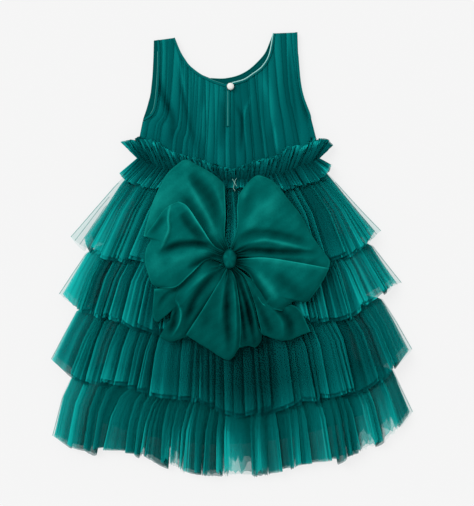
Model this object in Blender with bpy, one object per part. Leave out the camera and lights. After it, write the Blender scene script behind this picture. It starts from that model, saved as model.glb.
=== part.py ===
"""A girl's sleeveless tulle party dress, laid flat on its front with its back upwards.

X runs across the dress, Y from the hem to the shoulders, Z up from the surface that it lies on.
All sizes are in millimetres. Every tube lies flattened: its front half is below, its back half above.
"""

import math
from collections import namedtuple

import bmesh
import bpy
import numpy as np

MM = 0.001
TULLE_WALL = 1.6
BODICE_WALL = 1.2
BOW_WALL = 1.6
BINDING_WALL = 1.0
SEAM_GAP = 0.3

# Colours as seen, on a scale of 0 to 255
TULLE_TEAL = (0, 112, 105)
BODICE_TEAL = (0, 100, 96)
LINING_TEAL = (0, 84, 80)
BOW_GREEN = (4, 125, 110)
BINDING_TEAL = (30, 140, 132)
PEARL_WHITE = (240, 240, 235)

# One row across a flattened tube: its two side folds, and the heights of its walls.
# left, right: the side folds; middle_y: Y half way across; floor: underside of the front half;
# ridge: height of the front's folds; tip: top of the side folds; trough, wave: the back's folds;
# shoulder: how far in from the side folds the back reaches its full height.
Row = namedtuple("Row", "left right middle_y floor ridge tip trough wave shoulder")

SKIRT_LINING = [
    Row((-136, 142), (126, 142), 107.3, 10, 0, 14, 14, 0, 1),
    Row((-156, 12), (150.6, 12), -20, 10, 0, 14, 14, 0, 1),
    Row((-196, -252), (198, -240), -285, 10, 0, 14, 14, 0, 1),
]
TIER_1 = [
    Row((-139, 137), (129.2, 137), 104, 8.1, 0, 15.9, 15.9, 2.5, 4),
    Row((-175, 104), (160, 105), 90, 5.5, 0.5, 11.5, 16.5, 4, 24),
    Row((-205, 70), (192, 70), 55, 0, 1.5, 4.5, 18, 8, 40),
    Row((-244, 25), (226, 34.6), None, 0, 3, 4, 24, 13, 45),
]
TIER_2 = [
    Row((-154.6, 34), (148.6, 34), 20, 8.1, 0, 15.9, 15.9, 2.5, 4),
    Row((-219, 3), (212, 14), -16, 5.3, 0.5, 9.3, 16.5, 4, 40),
    Row((-240, -28), (232, -12), -45, 0, 1.5, 4.5, 18, 8, 40),
    Row((-261, -60.5), (257, -44), None, 0, 3, 4, 24, 13, 45),
]
TIER_3 = [
    Row((-169.2, -62), (165.6, -56), -86, 8.1, 0, 15.9, 15.9, 2.5, 4),
    Row((-233, -84), (226, -66), -125, 5.3, 0.5, 9.3, 16.5, 4, 40),
    Row((-252, -118), (248, -100), -152, 0, 1.5, 4.5, 18, 8, 40),
    Row((-273, -159), (272.6, -144), None, 0, 3, 4, 24, 13, 45),
]
TIER_4 = [
    Row((-184.4, -161), (184.8, -158), -196, 8.1, 0, 15.9, 15.9, 2.5, 4),
    Row((-239, -180), (243, -173), -241, 5.3, 0.5, 9.3, 16.5, 4, 40),
    Row((-256, -215), (257, -203), -268, 0, 1.5, 4.5, 18, 7, 40),
    Row((-271, -275), (273.5, -238), None, 0, 3, 4, 12, 14, 45),
]
WAIST_RUFFLE_LOWER = [
    Row((-143, 142.6), (133.4, 142.6), 110.5, 5.5, 0, 20.4, 20.4, 2.5, 4),
    Row((-170.6, 121), (154, 132.7), None, 0, 2, 5, 22.5, 5, 14),
]
WAIST_RUFFLE_UPPER = [
    Row((-142.2, 143.6), (132.2, 143.6), 111.6, 4.8, 0, 19.3, 19.3, 2.5, 4),
    Row((-167, 169), (152, 163.7), None, 0, 1.6, 4, 17.5, 6, 16),
]

# Free edges, X against Y from the left side fold to the right one
HEM_1 = [(-244, 25), (-232, 14), (-220, 7.6), (-178, -4), (-145, 0), (-60, -8), (2, -12),
         (90, -6), (174, 4.5), (205, 16), (226, 34.6)]
HEM_2 = [(-261, -60.5), (-240, -76), (-200, -88), (-160, -97), (-118, -108), (-60, -116), (2, -121),
         (60, -110), (120, -95), (174, -89), (220, -58), (257, -44)]
HEM_3 = [(-273, -159), (-239, -179), (-183, -188), (-109, -208), (-44, -218), (7, -237),
         (66, -223), (146, -209), (228, -178), (272.6, -144)]
HEM_4 = [(-271, -275), (-240, -288), (-200, -294), (-124, -306), (-78, -324), (-2, -333),
         (42, -334), (112, -316), (164, -307), (200, -294), (248, -266), (273.5, -238)]
RUFFLE_LOWER_EDGE = [(-170.6, 121), (-158, 110), (-143.8, 105), (-116.6, 97.6), (-60, 97), (5, 99),
                     (80, 96.5), (111, 104), (136, 114), (154, 132.7)]
RUFFLE_UPPER_EDGE = [(-167, 169), (-151, 171.5), (-114, 168.5), (-99.5, 160), (-68, 147), (-48, 142),
                     (-22.5, 132.7), (5, 126.8), (23, 136), (42, 142.6), (69, 146.3), (84, 158.8),
                     (107, 163.7), (132, 173), (143, 171.2), (152, 163.7)]

# Folds in the back half and in the front half of each tube
TIER_FOLDS = (20, 8)
RUFFLE_FOLDS = (22, 8)

# Bodice: the waist edge, the side and armhole edges, and the neckline with the shoulder ends
WAIST_LEFT_X = -138
WAIST_RIGHT_X = 128
WAIST_SIDE_Y = 143.6
WAIST_SAG = 35
BACK_LEFT_EDGE = [(-138, 143.6), (-139.6, 171), (-133.6, 203), (-122.5, 210.4), (-117.5, 220.4),
                  (-114.5, 240.5), (-112.4, 268.6), (-111.4, 304.6), (-112.5, 322)]
FRONT_LEFT_EDGE = [(-138, 143.6), (-139.6, 171), (-133.6, 204), (-128.5, 218.3), (-122.5, 240.5),
                   (-119.5, 268.6), (-118.1, 296.8), (-117.5, 322)]
RIGHT_EDGE = [(128, 143.6), (127.6, 171), (119.6, 204), (117.5, 212.3), (108.5, 236.5),
              (103.6, 260.5), (100, 300.7), (98.8, 333.7)]
BACK_NECKLINE = [(-86, 325.6), (-76.3, 302.8), (-64.3, 284.7), (-48.2, 271.6), (-32, 263), (-11.9, 256),
                 (0, 257.5), (18, 262.6), (32, 271.6), (46, 282.7), (56.3, 300.7), (62.3, 332.3)]
FRONT_NECKLINE = [(-86, 325.6), (-76.3, 302.8), (-64.3, 284.7), (-48.2, 271.6), (-32, 265), (-11.9, 264.5),
                  (8, 268.6), (24.2, 276.7), (38.2, 288.7), (50.2, 302.8), (57.3, 318.8), (62.3, 332.3)]
BODICE_ROWS = [0, 0.154, 0.333, 0.39, 0.54, 0.76, 1]
RISE_ROW = 0.333
BODICE_GATHERS = 12

# Bodice layers from the surface upwards: underside where it lies flat, how far it rises at the waist,
# and the height of its gathers over its length and at the waist
Layer = namedtuple("Layer", "under rise gather waist_gather")
FRONT_TULLE = Layer(0, 7.7, 1.4, 0)
FRONT_BASE = Layer(2.9, 6.3, 0, 0)
BACK_BASE = Layer(4.7, 8.3, 0, 0)
BACK_TULLE = Layer(6.2, 8.3, 1.6, 1.6)
BINDING_UNDER = 8.3
BINDING_WIDTH = 3.5

SLIT_X = -6
SLIT_WIDTH = 1.2
SLIT_END_Y = 192.8
SLIT_BINDING_WIDTH = 2.2
SLIT_BINDING_TOP_Y = 252.6

BUTTON_CENTRE = (-1.6, 251.5)
BUTTON_UNDER = BINDING_UNDER + BINDING_WALL + SEAM_GAP
BUTTON_RADIUS = 5.5
ROUND_SEGMENTS = 16
# Share of the radius against height
BUTTON_PROFILE = [(0, 0), (0.65, 0), (0.93, 1.2), (1, 2.8), (0.87, 4.6), (0.55, 5.8), (0, 6.2)]

# Bow: a knot with folded wings and tails round it, all seated on the crests of the first tier.
# Each wing has its root angles on the knot in degrees, its root's height over the seat, and the rows
# of its far edge: X, Y, underside over the seat, and height.
BOW_SEAT = 35.2
KNOT_CENTRE = (-3, -7)
KNOT_RADII = (10.5, 15)
KNOT_PROFILE = [(0, 0), (0.86, 0), (1, 2.5), (1, 16), (0.84, 22), (0.5, 25.4), (0, 26.4)]
ROOT_GAP = 0.3
ROOT_HEIGHT = 6
Wing = namedtuple("Wing", "name first_angle last_angle root_over_seat columns edge")
WINGS = [
    Wing("bow_loop_upper_left", 164, 97, 0, 9,
         [(-131, 26, -2.5, 7), (-117, 80, -4.5, 7), (-95, 113, -6.5, 12), (-66, 142, -7.5, 18),
          (-40, 127, -7.5, 20), (-12, 108, -7.5, 16)]),
    Wing("bow_puff_left", 202, 135, 6.4, 8,
         [(-104, -52, 6.5, 14), (-119, -43, 6.5, 17), (-129, -12, 6.5, 20), (-119, 24, 6.5, 21),
          (-102, 56, 7.5, 20), (-82, 77, 8.5, 18)]),
    Wing("bow_loop_upper_right", 84, 3, 0, 9,
         [(9, 87, -4.5, 16), (40, 120, -6.5, 20), (63, 113, -6.5, 22), (85, 86, -5.5, 22),
          (114, 44, -2.5, 20), (135, 9, 0, 18), (144, -4, 0, 14)]),
    Wing("bow_loop_lower_right", -2, -40, 0, 7,
         [(145, -12, 0, 14), (144, -24, 0, 17), (131, -52, 0, 19), (113, -73, 0, 18),
          (86, -76, 0, 15), (79, -80, 0, 12)]),
    Wing("bow_tail_right", -44, -65, 0, 5,
         [(118, -119, 0, 8), (83, -130, 0, 10), (58, -126, 0, 9), (43, -110, 0, 8)]),
    Wing("bow_folds_right", -68, -81, 0, 4,
         [(40, -113, 2.5, 8), (43, -126, 3, 10), (27, -142, 3, 10), (15, -137, 3, 8)]),
    Wing("bow_tail_centre", -85, -117, 0, 6,
         [(11, -139, 3, 9), (-5, -157, 3, 13), (-36, -138, 3, 14), (-66, -120, 2.5, 9)]),
    Wing("bow_tail_left", -121, -141, 0, 5,
         [(-72, -122, 0, 8), (-93, -132, 0, 9), (-106, -122, 0, 10), (-90, -98, 0, 9),
          (-87, -67, 0, 8)]),
    Wing("bow_tab_left", -146, -155, 0, 3,
         [(-93, -65, 0, 6.5), (-114, -77, 0, 6.5), (-116, -60, 0, 6.5)]),
]
# Section of a wing from the top of its root, round its far fold and back along its underside:
# share of its length, share of its height, and how deep the creases cut there
WING_SECTION = [(0, None, 0), (0.3, 0.8, 0.34), (0.7, 1.0, 0.16), (0.93, 0.66, 0.05), (1.0, 0.34, 0),
                (0.965, 0, 0), (0.5, 0, 0), (0, 0, 0)]


def lerp(a, b, share):
    return a + (b - a) * share


def linear(level):
    """One colour channel from 0 to 255 as linear light."""
    share = level / 255
    return share / 12.92 if share <= 0.04045 else ((share + 0.055) / 1.055) ** 2.4


def make_material(name, colour, roughness):
    material = bpy.data.materials.new(name)
    material.use_nodes = True
    shader = material.node_tree.nodes["Principled BSDF"]
    shader.inputs["Base Color"].default_value = (*[linear(level) for level in colour], 1)
    shader.inputs["Roughness"].default_value = roughness
    shader.inputs["Metallic"].default_value = 0
    return material


def make_object(name, points, triangles, material):
    """A closed mesh from points in millimetres, with its faces turned outwards and shaded smooth."""
    mesh = bpy.data.meshes.new(name)
    mesh.from_pydata([tuple(p * MM for p in point) for point in points], [], triangles)
    mesh.materials.append(material)
    body = bmesh.new()
    body.from_mesh(mesh)
    bmesh.ops.recalc_face_normals(body, faces=body.faces)
    for face in body.faces:
        face.smooth = True
    body.to_mesh(mesh)
    body.free()
    obj = bpy.data.objects.new(name, mesh)
    bpy.context.collection.objects.link(obj)
    return obj


def wall(name, outer, inner, material, ring):
    """A wall between two grids of points. A ring joins its last column to its first."""
    rows, columns, _ = outer.shape
    points = np.concatenate([outer.reshape(-1, 3), inner.reshape(-1, 3)])
    across = rows * columns
    spans = columns if ring else columns - 1
    triangles = []

    def quad(a, b, c, d):
        triangles.append((a, b, c))
        triangles.append((a, c, d))

    for r in range(rows - 1):
        for c in range(spans):
            here = r * columns + c
            beside = r * columns + (c + 1) % columns
            below = here + columns
            corner = beside + columns
            quad(here, beside, corner, below)
            triangles.append((across + here, across + corner, across + beside))
            triangles.append((across + here, across + below, across + corner))
    for start in (0, (rows - 1) * columns):
        for c in range(spans):
            here = start + c
            beside = start + (c + 1) % columns
            quad(here, across + here, across + beside, beside)
    if not ring:
        for r in range(rows - 1):
            for here in (r * columns, r * columns + columns - 1):
                below = here + columns
                quad(here, below, across + below, across + here)
    return make_object(name, points, triangles, material)


def inset(across, up, distance, closed):
    """A section line moved to its right-hand side by the wall's thickness."""
    points = np.column_stack([across, up])
    steps = np.roll(points, -1, axis=0) - points
    lengths = np.maximum(np.linalg.norm(steps, axis=1), 1e-6)
    normals = np.column_stack([steps[:, 1], -steps[:, 0]]) / lengths[:, None]
    before = np.roll(normals, 1, axis=0)
    if not closed:
        normals[-1] = before[-1]
        before[0] = normals[0]
    mitre = 1 + np.sum(before * normals, axis=1)
    moved = points + distance * (before + normals) / np.maximum(mitre, 0.35)[:, None]
    return moved[:, 0], moved[:, 1]


def smooth_line(x, points):
    """Y along a smooth curve through points that run from left to right."""
    known_x = np.array([p[0] for p in points], float)
    known_y = np.array([p[1] for p in points], float)
    slopes = np.gradient(known_y, known_x)
    span = np.clip(np.searchsorted(known_x, x) - 1, 0, len(known_x) - 2)
    width = known_x[span + 1] - known_x[span]
    t = (x - known_x[span]) / width
    start = (1 + 2 * t) * (1 - t) ** 2 * known_y[span] + t * (1 - t) ** 2 * width * slopes[span]
    end = t * t * (3 - 2 * t) * known_y[span + 1] + t * t * (t - 1) * width * slopes[span + 1]
    return start + end


def row_line(row, edge, s):
    """X and Y across one row, where s runs from -1 at the left fold to 1 at the right fold."""
    share = (s + 1) / 2
    x = lerp(row.left[0], row.right[0], share)
    if row.middle_y is None:
        return x, smooth_line(x, edge)
    side_y = lerp(row.left[1], row.right[1], share)
    sag = (row.left[1] + row.right[1]) / 2 - row.middle_y
    return x, side_y - sag * (1 - s * s)


def fold_strength(count, phase):
    """Uneven strengths for a row of folds."""
    index = np.arange(count)
    return 0.8 + 0.2 * np.sin(1.9 * index + phase) * np.cos(0.7 * index - phase)


def tube(name, rows, edge, folds, material, phase=0.0, wall_thickness=TULLE_WALL):
    """A gathered tube lying flattened, folded on its back half and with soft ridges on its front half."""
    back_folds, front_folds = folds
    back_count = 4 * back_folds if back_folds else 16
    index = np.arange(back_count + 1)
    back_s = -1 + 2 * index / back_count
    strengths = fold_strength(back_folds, phase) if back_folds else np.zeros(1)
    fold_of = np.minimum(index // 4, len(strengths) - 1)
    back_wave = (0.5 - 0.5 * np.cos(index * math.pi / 2)) * strengths[fold_of]
    back_s = back_s + 0.006 * np.sin(6 * back_s + phase) * (1 - back_s ** 2)
    front_s = [1.0]
    front_wave = [0.0]
    for fold in range(front_folds):
        centre = 1 - (2 * fold + 1) / front_folds
        half = 0.5 / front_folds
        front_s += [centre + half, centre, centre - half]
        front_wave += [0.0, 0.8 + 0.2 * math.sin(2.3 * fold + phase), 0.0]
    front_s.append(-1.0)
    front_wave.append(0.0)
    front_s = np.array(front_s)
    front_wave = np.array(front_wave)
    s = np.concatenate([back_s, front_s])
    outer = []
    inner = []
    for row in rows:
        x, y = row_line(row, edge, s)
        x_back = x[:back_count + 1]
        from_tip = np.minimum(x_back - row.left[0], row.right[0] - x_back)
        closing = np.clip(from_tip / row.shoulder, 0, 1)
        rounding = np.sqrt(np.clip(1 - (1 - closing) ** 2, 0, 1))
        back_z = row.tip + (row.trough + row.wave * back_wave - row.tip) * rounding
        front_z = row.floor + row.ridge * front_wave
        z = np.concatenate([back_z, front_z])
        x_in, z_in = inset(x, z, wall_thickness, closed=True)
        outer.append(np.column_stack([x, y, z]))
        inner.append(np.column_stack([x_in, y, z_in]))
    return wall(name, np.array(outer), np.array(inner), material, ring=True)


def edge_at(edge, y):
    return np.interp(y, [p[1] for p in edge], [p[0] for p in edge])


def bodice_panel(name, layer, left_edge, neckline, gathers, columns, material, phase=0.0):
    """One bodice panel from the waist to the neckline and shoulders, gathered along its height."""
    left_top = left_edge[-1]
    right_top = RIGHT_EDGE[-1]
    top = [left_top] + neckline + [right_top]
    s = np.linspace(-1, 1, columns + 1)
    share = (s + 1) / 2
    waist_x = lerp(WAIST_LEFT_X, WAIST_RIGHT_X, share)
    waist_y = WAIST_SIDE_Y - WAIST_SAG * (1 - s * s)
    top_x = lerp(left_top[0], right_top[0], share)
    top_y = np.interp(top_x, [p[0] for p in top], [p[1] for p in top])
    per_fold = max(columns // gathers, 1) if gathers else 1
    index = np.arange(columns + 1)
    wave = np.zeros(columns + 1)
    if gathers:
        strengths = fold_strength(gathers, phase)
        fold_of = np.minimum(index // per_fold, gathers - 1)
        wave = (0.5 - 0.5 * np.cos(index * 2 * math.pi / per_fold)) * strengths[fold_of]
    upper = []
    lower = []
    for f in BODICE_ROWS:
        left_y = lerp(WAIST_SIDE_Y, left_top[1], f)
        right_y = lerp(WAIST_SIDE_Y, right_top[1], f)
        left_move = edge_at(left_edge, left_y) - lerp(WAIST_LEFT_X, left_top[0], f)
        right_move = edge_at(RIGHT_EDGE, right_y) - lerp(WAIST_RIGHT_X, right_top[0], f)
        x = lerp(waist_x, top_x, f)
        x = x + left_move * np.clip(-s, 0, 1) ** 2 + right_move * np.clip(s, 0, 1) ** 2
        y = lerp(waist_y, top_y, f)
        rise = max(0, 1 - f / RISE_ROW)
        near_slit = np.clip((np.abs(x - SLIT_X) - 4) / 6, 0.15, 1) if y.min() > 175 else 1
        swell = 0.18 if f == 1 else 1.0
        gather = lerp(layer.gather, layer.waist_gather, rise)
        z = layer.under + layer.rise * rise + gather * wave * swell * near_slit
        lower.append(np.column_stack([x, y, z]))
        upper.append(np.column_stack([x, y, z + BODICE_WALL]))
    return wall(name, np.array(upper), np.array(lower), material, ring=False)


def cut_slit(panel):
    """The centre-back slit, open at the neckline."""
    top_y = 280
    bpy.ops.mesh.primitive_cube_add(size=1)
    cutter = bpy.context.object
    cutter.scale = (SLIT_WIDTH * MM, (top_y - SLIT_END_Y) * MM, 40 * MM)
    cutter.location = (SLIT_X * MM, (top_y + SLIT_END_Y) / 2 * MM, 10 * MM)
    bpy.context.view_layer.update()
    cut = panel.modifiers.new("slit", "BOOLEAN")
    cut.operation = "DIFFERENCE"
    cut.solver = "EXACT"
    cut.object = cutter
    bpy.context.view_layer.objects.active = panel
    bpy.ops.object.modifier_apply(modifier=cut.name)
    bpy.data.objects.remove(cutter, do_unlink=True)


def binding(name, path, width, material):
    """A flat strip beside a path in plan, on the right-hand side as the path runs."""
    x = np.array([p[0] for p in path], float)
    y = np.array([p[1] for p in path], float)
    x_in, y_in = inset(x, y, width, closed=False)
    top = BINDING_UNDER + BINDING_WALL
    upper = np.array([np.column_stack([x, y, np.full(len(x), top)]),
                      np.column_stack([x_in, y_in, np.full(len(x), top)])])
    lower = upper.copy()
    lower[:, :, 2] = BINDING_UNDER
    return wall(name, upper, lower, material, ring=False)


def lathe_points(centre, radii, under, profile):
    """A first pole, rings of points and a last pole, from shares of the radii against heights."""
    points = [(centre[0], centre[1], under + profile[0][1])]
    for share, height in profile[1:-1]:
        for k in range(ROUND_SEGMENTS):
            angle = 2 * math.pi * k / ROUND_SEGMENTS
            points.append((centre[0] + radii[0] * share * math.cos(angle),
                           centre[1] + radii[1] * share * math.sin(angle), under + height))
    points.append((centre[0], centre[1], under + profile[-1][1]))
    return points


def lathe(name, points, material):
    """A round body from a first pole, rings of points and a last pole."""
    segments = ROUND_SEGMENTS
    rings = (len(points) - 2) // segments
    last = len(points) - 1
    base = 1 + (rings - 1) * segments
    triangles = []
    for k in range(segments):
        after = (k + 1) % segments
        triangles.append((0, 1 + after, 1 + k))
        for r in range(rings - 1):
            a = 1 + r * segments + k
            b = 1 + r * segments + after
            triangles.append((a, b, b + segments))
            triangles.append((a, b + segments, a + segments))
        triangles.append((last, base + k, base + after))
    return make_object(name, points, triangles, material)


def button(material):
    points = lathe_points(BUTTON_CENTRE, (BUTTON_RADIUS, BUTTON_RADIUS), BUTTON_UNDER, BUTTON_PROFILE)
    return lathe("button", points, material)


def knot(material):
    points = lathe_points(KNOT_CENTRE, KNOT_RADII, BOW_SEAT, KNOT_PROFILE)
    return lathe("bow_knot", points, material)


def wing(spec, material):
    """One folded wing or tail of the bow, open at its sides and creased towards the knot."""
    edge = np.array(spec.edge, float)
    steps = np.linalg.norm(np.diff(edge[:, :2], axis=0), axis=1)
    along = np.concatenate([[0], np.cumsum(steps)]) / np.sum(steps)
    outer = []
    inner = []
    for c in range(spec.columns):
        share = c / (spec.columns - 1)
        angle = math.radians(lerp(spec.first_angle, spec.last_angle, share))
        root = np.array([KNOT_CENTRE[0] + (KNOT_RADII[0] + ROOT_GAP) * math.cos(angle),
                         KNOT_CENTRE[1] + (KNOT_RADII[1] + ROOT_GAP) * math.sin(angle)])
        far = np.array([np.interp(share, along, edge[:, k]) for k in range(4)])
        reach = np.linalg.norm(far[:2] - root)
        way = (far[:2] - root) / reach
        lengths = []
        heights = []
        for part, level, crease in WING_SECTION:
            under = BOW_SEAT + lerp(spec.root_over_seat, far[2], part)
            depth = 1 - crease * (c % 2)
            rise = ROOT_HEIGHT if level is None else max(level * far[3] * depth, 0)
            lengths.append(part * reach)
            heights.append(under + rise)
        in_lengths, in_heights = inset(np.array(lengths), np.array(heights), BOW_WALL, closed=False)
        in_lengths[0] = 0
        in_lengths[-1] = 0
        outer.append([(*(root + way * step), up) for step, up in zip(lengths, heights)])
        inner.append([(*(root + way * step), up) for step, up in zip(in_lengths, in_heights)])
    return wall(spec.name, np.array(outer), np.array(inner), material, ring=False)


def armhole_path(edge, bottom_y):
    return [p for p in edge if p[1] >= bottom_y]


def build_bodice():
    tulle = make_material("bodice_tulle", BODICE_TEAL, 0.9)
    base = make_material("bodice_base", LINING_TEAL, 0.8)
    edging = make_material("binding", BINDING_TEAL, 0.7)
    gathered = 4 * BODICE_GATHERS
    bodice_panel("bodice_front_tulle", FRONT_TULLE, FRONT_LEFT_EDGE, FRONT_NECKLINE, 6, 24, tulle, 0.4)
    bodice_panel("bodice_front_base", FRONT_BASE, FRONT_LEFT_EDGE, FRONT_NECKLINE, 0, 16, base)
    back_base = bodice_panel("bodice_back_base", BACK_BASE, BACK_LEFT_EDGE, BACK_NECKLINE, 0, 16, base)
    back_tulle = bodice_panel("bodice_back_tulle", BACK_TULLE, BACK_LEFT_EDGE, BACK_NECKLINE,
                              BODICE_GATHERS, gathered, tulle, 1.3)
    cut_slit(back_base)
    cut_slit(back_tulle)
    half_slit = SLIT_WIDTH / 2
    neck_at_slit = np.interp(SLIT_X, [p[0] for p in BACK_NECKLINE], [p[1] for p in BACK_NECKLINE])
    left_neck = [p for p in BACK_NECKLINE if p[0] < SLIT_X] + [(SLIT_X - half_slit, neck_at_slit)]
    right_neck = [(SLIT_X + half_slit, neck_at_slit)] + [p for p in BACK_NECKLINE if p[0] > SLIT_X]
    binding("neck_binding_left", left_neck, BINDING_WIDTH, edging)
    binding("neck_binding_right", right_neck, BINDING_WIDTH, edging)
    binding("armhole_binding_left", armhole_path(BACK_LEFT_EDGE, 203), BINDING_WIDTH, edging)
    binding("armhole_binding_right", armhole_path(RIGHT_EDGE, 204)[::-1], BINDING_WIDTH, edging)
    slit_path = [(SLIT_X - half_slit, SLIT_BINDING_TOP_Y), (SLIT_X - half_slit, SLIT_END_Y),
                 (SLIT_X + half_slit, SLIT_END_Y), (SLIT_X + half_slit, SLIT_BINDING_TOP_Y)]
    binding("slit_binding", slit_path, SLIT_BINDING_WIDTH, edging)
    button(make_material("pearl", PEARL_WHITE, 0.25))


def build_skirt():
    tulle = make_material("skirt_tulle", TULLE_TEAL, 0.9)
    lining = make_material("skirt_lining", LINING_TEAL, 0.7)
    tube("skirt_lining", SKIRT_LINING, None, (0, 6), lining, wall_thickness=1.5)
    tube("skirt_tier_1", TIER_1, HEM_1, TIER_FOLDS, tulle, 0.2)
    tube("skirt_tier_2", TIER_2, HEM_2, TIER_FOLDS, tulle, 1.4)
    tube("skirt_tier_3", TIER_3, HEM_3, TIER_FOLDS, tulle, 2.7)
    tube("skirt_tier_4", TIER_4, HEM_4, TIER_FOLDS, tulle, 4.1)
    tube("waist_ruffle_lower", WAIST_RUFFLE_LOWER, RUFFLE_LOWER_EDGE, RUFFLE_FOLDS, tulle, 0.8)
    tube("waist_ruffle_upper", WAIST_RUFFLE_UPPER, RUFFLE_UPPER_EDGE, RUFFLE_FOLDS, tulle, 3.1)


def build_bow():
    satin = make_material("bow_fabric", BOW_GREEN, 0.6)
    for spec in WINGS:
        wing(spec, satin)
    knot(satin)


def centre_on_origin():
    """Moves every mesh so that the whole dress is centred over the origin and rests on Z = 0."""
    meshes = [obj.data for obj in bpy.data.objects if obj.type == "MESH"]
    corners = np.array([vertex.co for mesh in meshes for vertex in mesh.vertices])
    low = corners.min(axis=0)
    high = corners.max(axis=0)
    move = np.array([-(low[0] + high[0]) / 2, -(low[1] + high[1]) / 2, -low[2]])
    for mesh in meshes:
        for vertex in mesh.vertices:
            vertex.co.x += move[0]
            vertex.co.y += move[1]
            vertex.co.z += move[2]


def main():
    for obj in list(bpy.data.objects):
        bpy.data.objects.remove(obj, do_unlink=True)
    build_skirt()
    build_bodice()
    build_bow()
    centre_on_origin()


main()
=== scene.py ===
"""A girl's sleeveless tulle party dress, laid flat on its front with its back upwards.

Sizes in the tables are in millimetres, in the frame of the solids: X across, Y from the hem to the
shoulders, Z up from the surface. Every ruffle is a flattened tube of sheer layers, of which the inner
ones of the four tiers have their back half alone.
"""

import math
from collections import namedtuple

import bmesh
import bpy
import numpy as np
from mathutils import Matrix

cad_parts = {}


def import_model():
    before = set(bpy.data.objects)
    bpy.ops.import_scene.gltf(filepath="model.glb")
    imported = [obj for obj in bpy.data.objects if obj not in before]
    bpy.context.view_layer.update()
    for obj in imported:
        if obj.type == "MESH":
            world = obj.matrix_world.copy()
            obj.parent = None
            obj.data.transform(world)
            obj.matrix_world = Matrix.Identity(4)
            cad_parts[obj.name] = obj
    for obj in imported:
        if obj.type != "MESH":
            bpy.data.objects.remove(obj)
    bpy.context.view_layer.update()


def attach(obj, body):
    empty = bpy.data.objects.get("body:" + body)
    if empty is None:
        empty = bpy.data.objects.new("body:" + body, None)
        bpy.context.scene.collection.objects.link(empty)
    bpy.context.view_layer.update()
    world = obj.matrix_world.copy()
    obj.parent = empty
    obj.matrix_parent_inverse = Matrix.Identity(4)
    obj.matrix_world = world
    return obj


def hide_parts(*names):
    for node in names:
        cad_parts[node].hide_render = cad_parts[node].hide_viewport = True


MM = 0.001

# Colours as seen, on a scale of 0 to 255. Where a cloth has a dark, a middle and a light colour, its shade
# attribute runs through them: the dark one is that cloth in painted shade and the light one in painted light.
VEIL_IN_SHADE = (0, 50, 50)
VEIL_MIDDLE = (8, 150, 145)
VEIL_IN_LIGHT = (24, 190, 182)
HEM_IN_SHADE = (0, 72, 69)
TULLE_IN_SHADE = (0, 14, 16)
TULLE_MIDDLE = (2, 98, 98)
TULLE_IN_LIGHT = (18, 188, 182)
DEEP_IN_SHADE = (0, 24, 25)
DEEP_MIDDLE = (0, 48, 49)
DEEP_IN_LIGHT = (0, 84, 84)
BODICE_IN_SHADE = (0, 42, 43)
BODICE_MIDDLE = (2, 102, 102)
BODICE_IN_LIGHT = (14, 160, 156)
BODICE_CLOTH = (0, 80, 79)
LINING_CLOTH = (0, 62, 61)
BOW_IN_SHADE = (0, 26, 26)
BOW_MIDDLE = (2, 92, 87)
BOW_IN_LIGHT = (20, 154, 144)
BINDING_CLOTH = (4, 98, 97)
SLIT_CLOTH = (64, 150, 144)
TIP_FOLD_TULLE = (20, 140, 136)
# The right back neckline's light turned edge, a painted highlight
PIPING_HIGHLIGHT = (150, 208, 202)
PEARL = (244, 244, 240)
PEARL_ROSE = (222, 222, 216)
THREAD = (150, 205, 195)
FLOOR_GREY = (98, 98, 98)

# One row across a flattened tube: its two side folds, and the heights of its walls.
# left, right: the side folds; middle_y: Y half way across; floor: underside of the front half;
# ridge: height of the front's folds; tip: top of the side folds; trough, wave: the back's folds;
# shoulder: how far in from the side folds the back reaches its full height.
Row = namedtuple("Row", "left right middle_y floor ridge tip trough wave shoulder")

TIER_1 = [
    Row((-139, 137), (129.2, 137), 104, 8.5, 0, 15.9, 15.4, 3, 4),
    Row((-175, 104), (160, 105), 90, 5.5, 0.5, 11.5, 16.2, 4.5, 24),
    Row((-205, 70), (192, 70), 55, 0.4, 1.5, 4.5, 17, 9, 40),
    Row((-244, 25), (226, 34.6), None, 0.4, 3, 4, 23, 14, 45),
]
TIER_2 = [
    Row((-154.6, 34), (148.6, 34), 20, 8.5, 0, 15.9, 15.4, 3, 4),
    Row((-219, 3), (212, 14), -16, 5.3, 0.5, 9.3, 16.2, 4.5, 40),
    Row((-240, -28), (232, -12), -45, 0.4, 1.5, 4.5, 17, 9, 40),
    Row((-261, -60.5), (257, -44), None, 0.4, 3, 4, 23, 14, 45),
]
TIER_3 = [
    Row((-169.2, -62), (165.6, -56), -86, 8.5, 0, 15.9, 15.4, 3, 4),
    Row((-233, -84), (226, -66), -125, 5.3, 0.5, 9.3, 16.2, 4.5, 40),
    Row((-252, -118), (248, -100), -152, 0.4, 1.5, 4.5, 17, 9, 40),
    Row((-273, -159), (272.6, -144), None, 0.4, 3, 4, 23, 14, 45),
]
TIER_4 = [
    Row((-184.4, -161), (184.8, -158), -196, 8.5, 0, 15.9, 15.4, 3, 4),
    Row((-239, -180), (243, -173), -241, 5.3, 0.5, 9.3, 16.2, 4.5, 40),
    Row((-256, -215), (257, -203), -268, 0.4, 1.5, 4.5, 17, 8, 40),
    Row((-271, -275), (273.5, -238), None, 0.4, 3, 4, 11, 15, 45),
]
WAIST_RUFFLE_LOWER = [
    Row((-143, 142.6), (133.4, 142.6), 110.5, 6.2, 0, 19.5, 19.5, 3.5, 4),
    Row((-170.6, 121), (154, 132.7), None, 0.4, 2, 5, 21.5, 6, 14),
]
WAIST_RUFFLE_UPPER = [
    Row((-142.2, 143.6), (132.2, 143.6), 111.6, 5.4, 0, 18.5, 18.5, 3.5, 4),
    Row((-167, 169), (152, 163.7), None, 0.4, 1.6, 4, 17, 7, 16),
]

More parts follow.
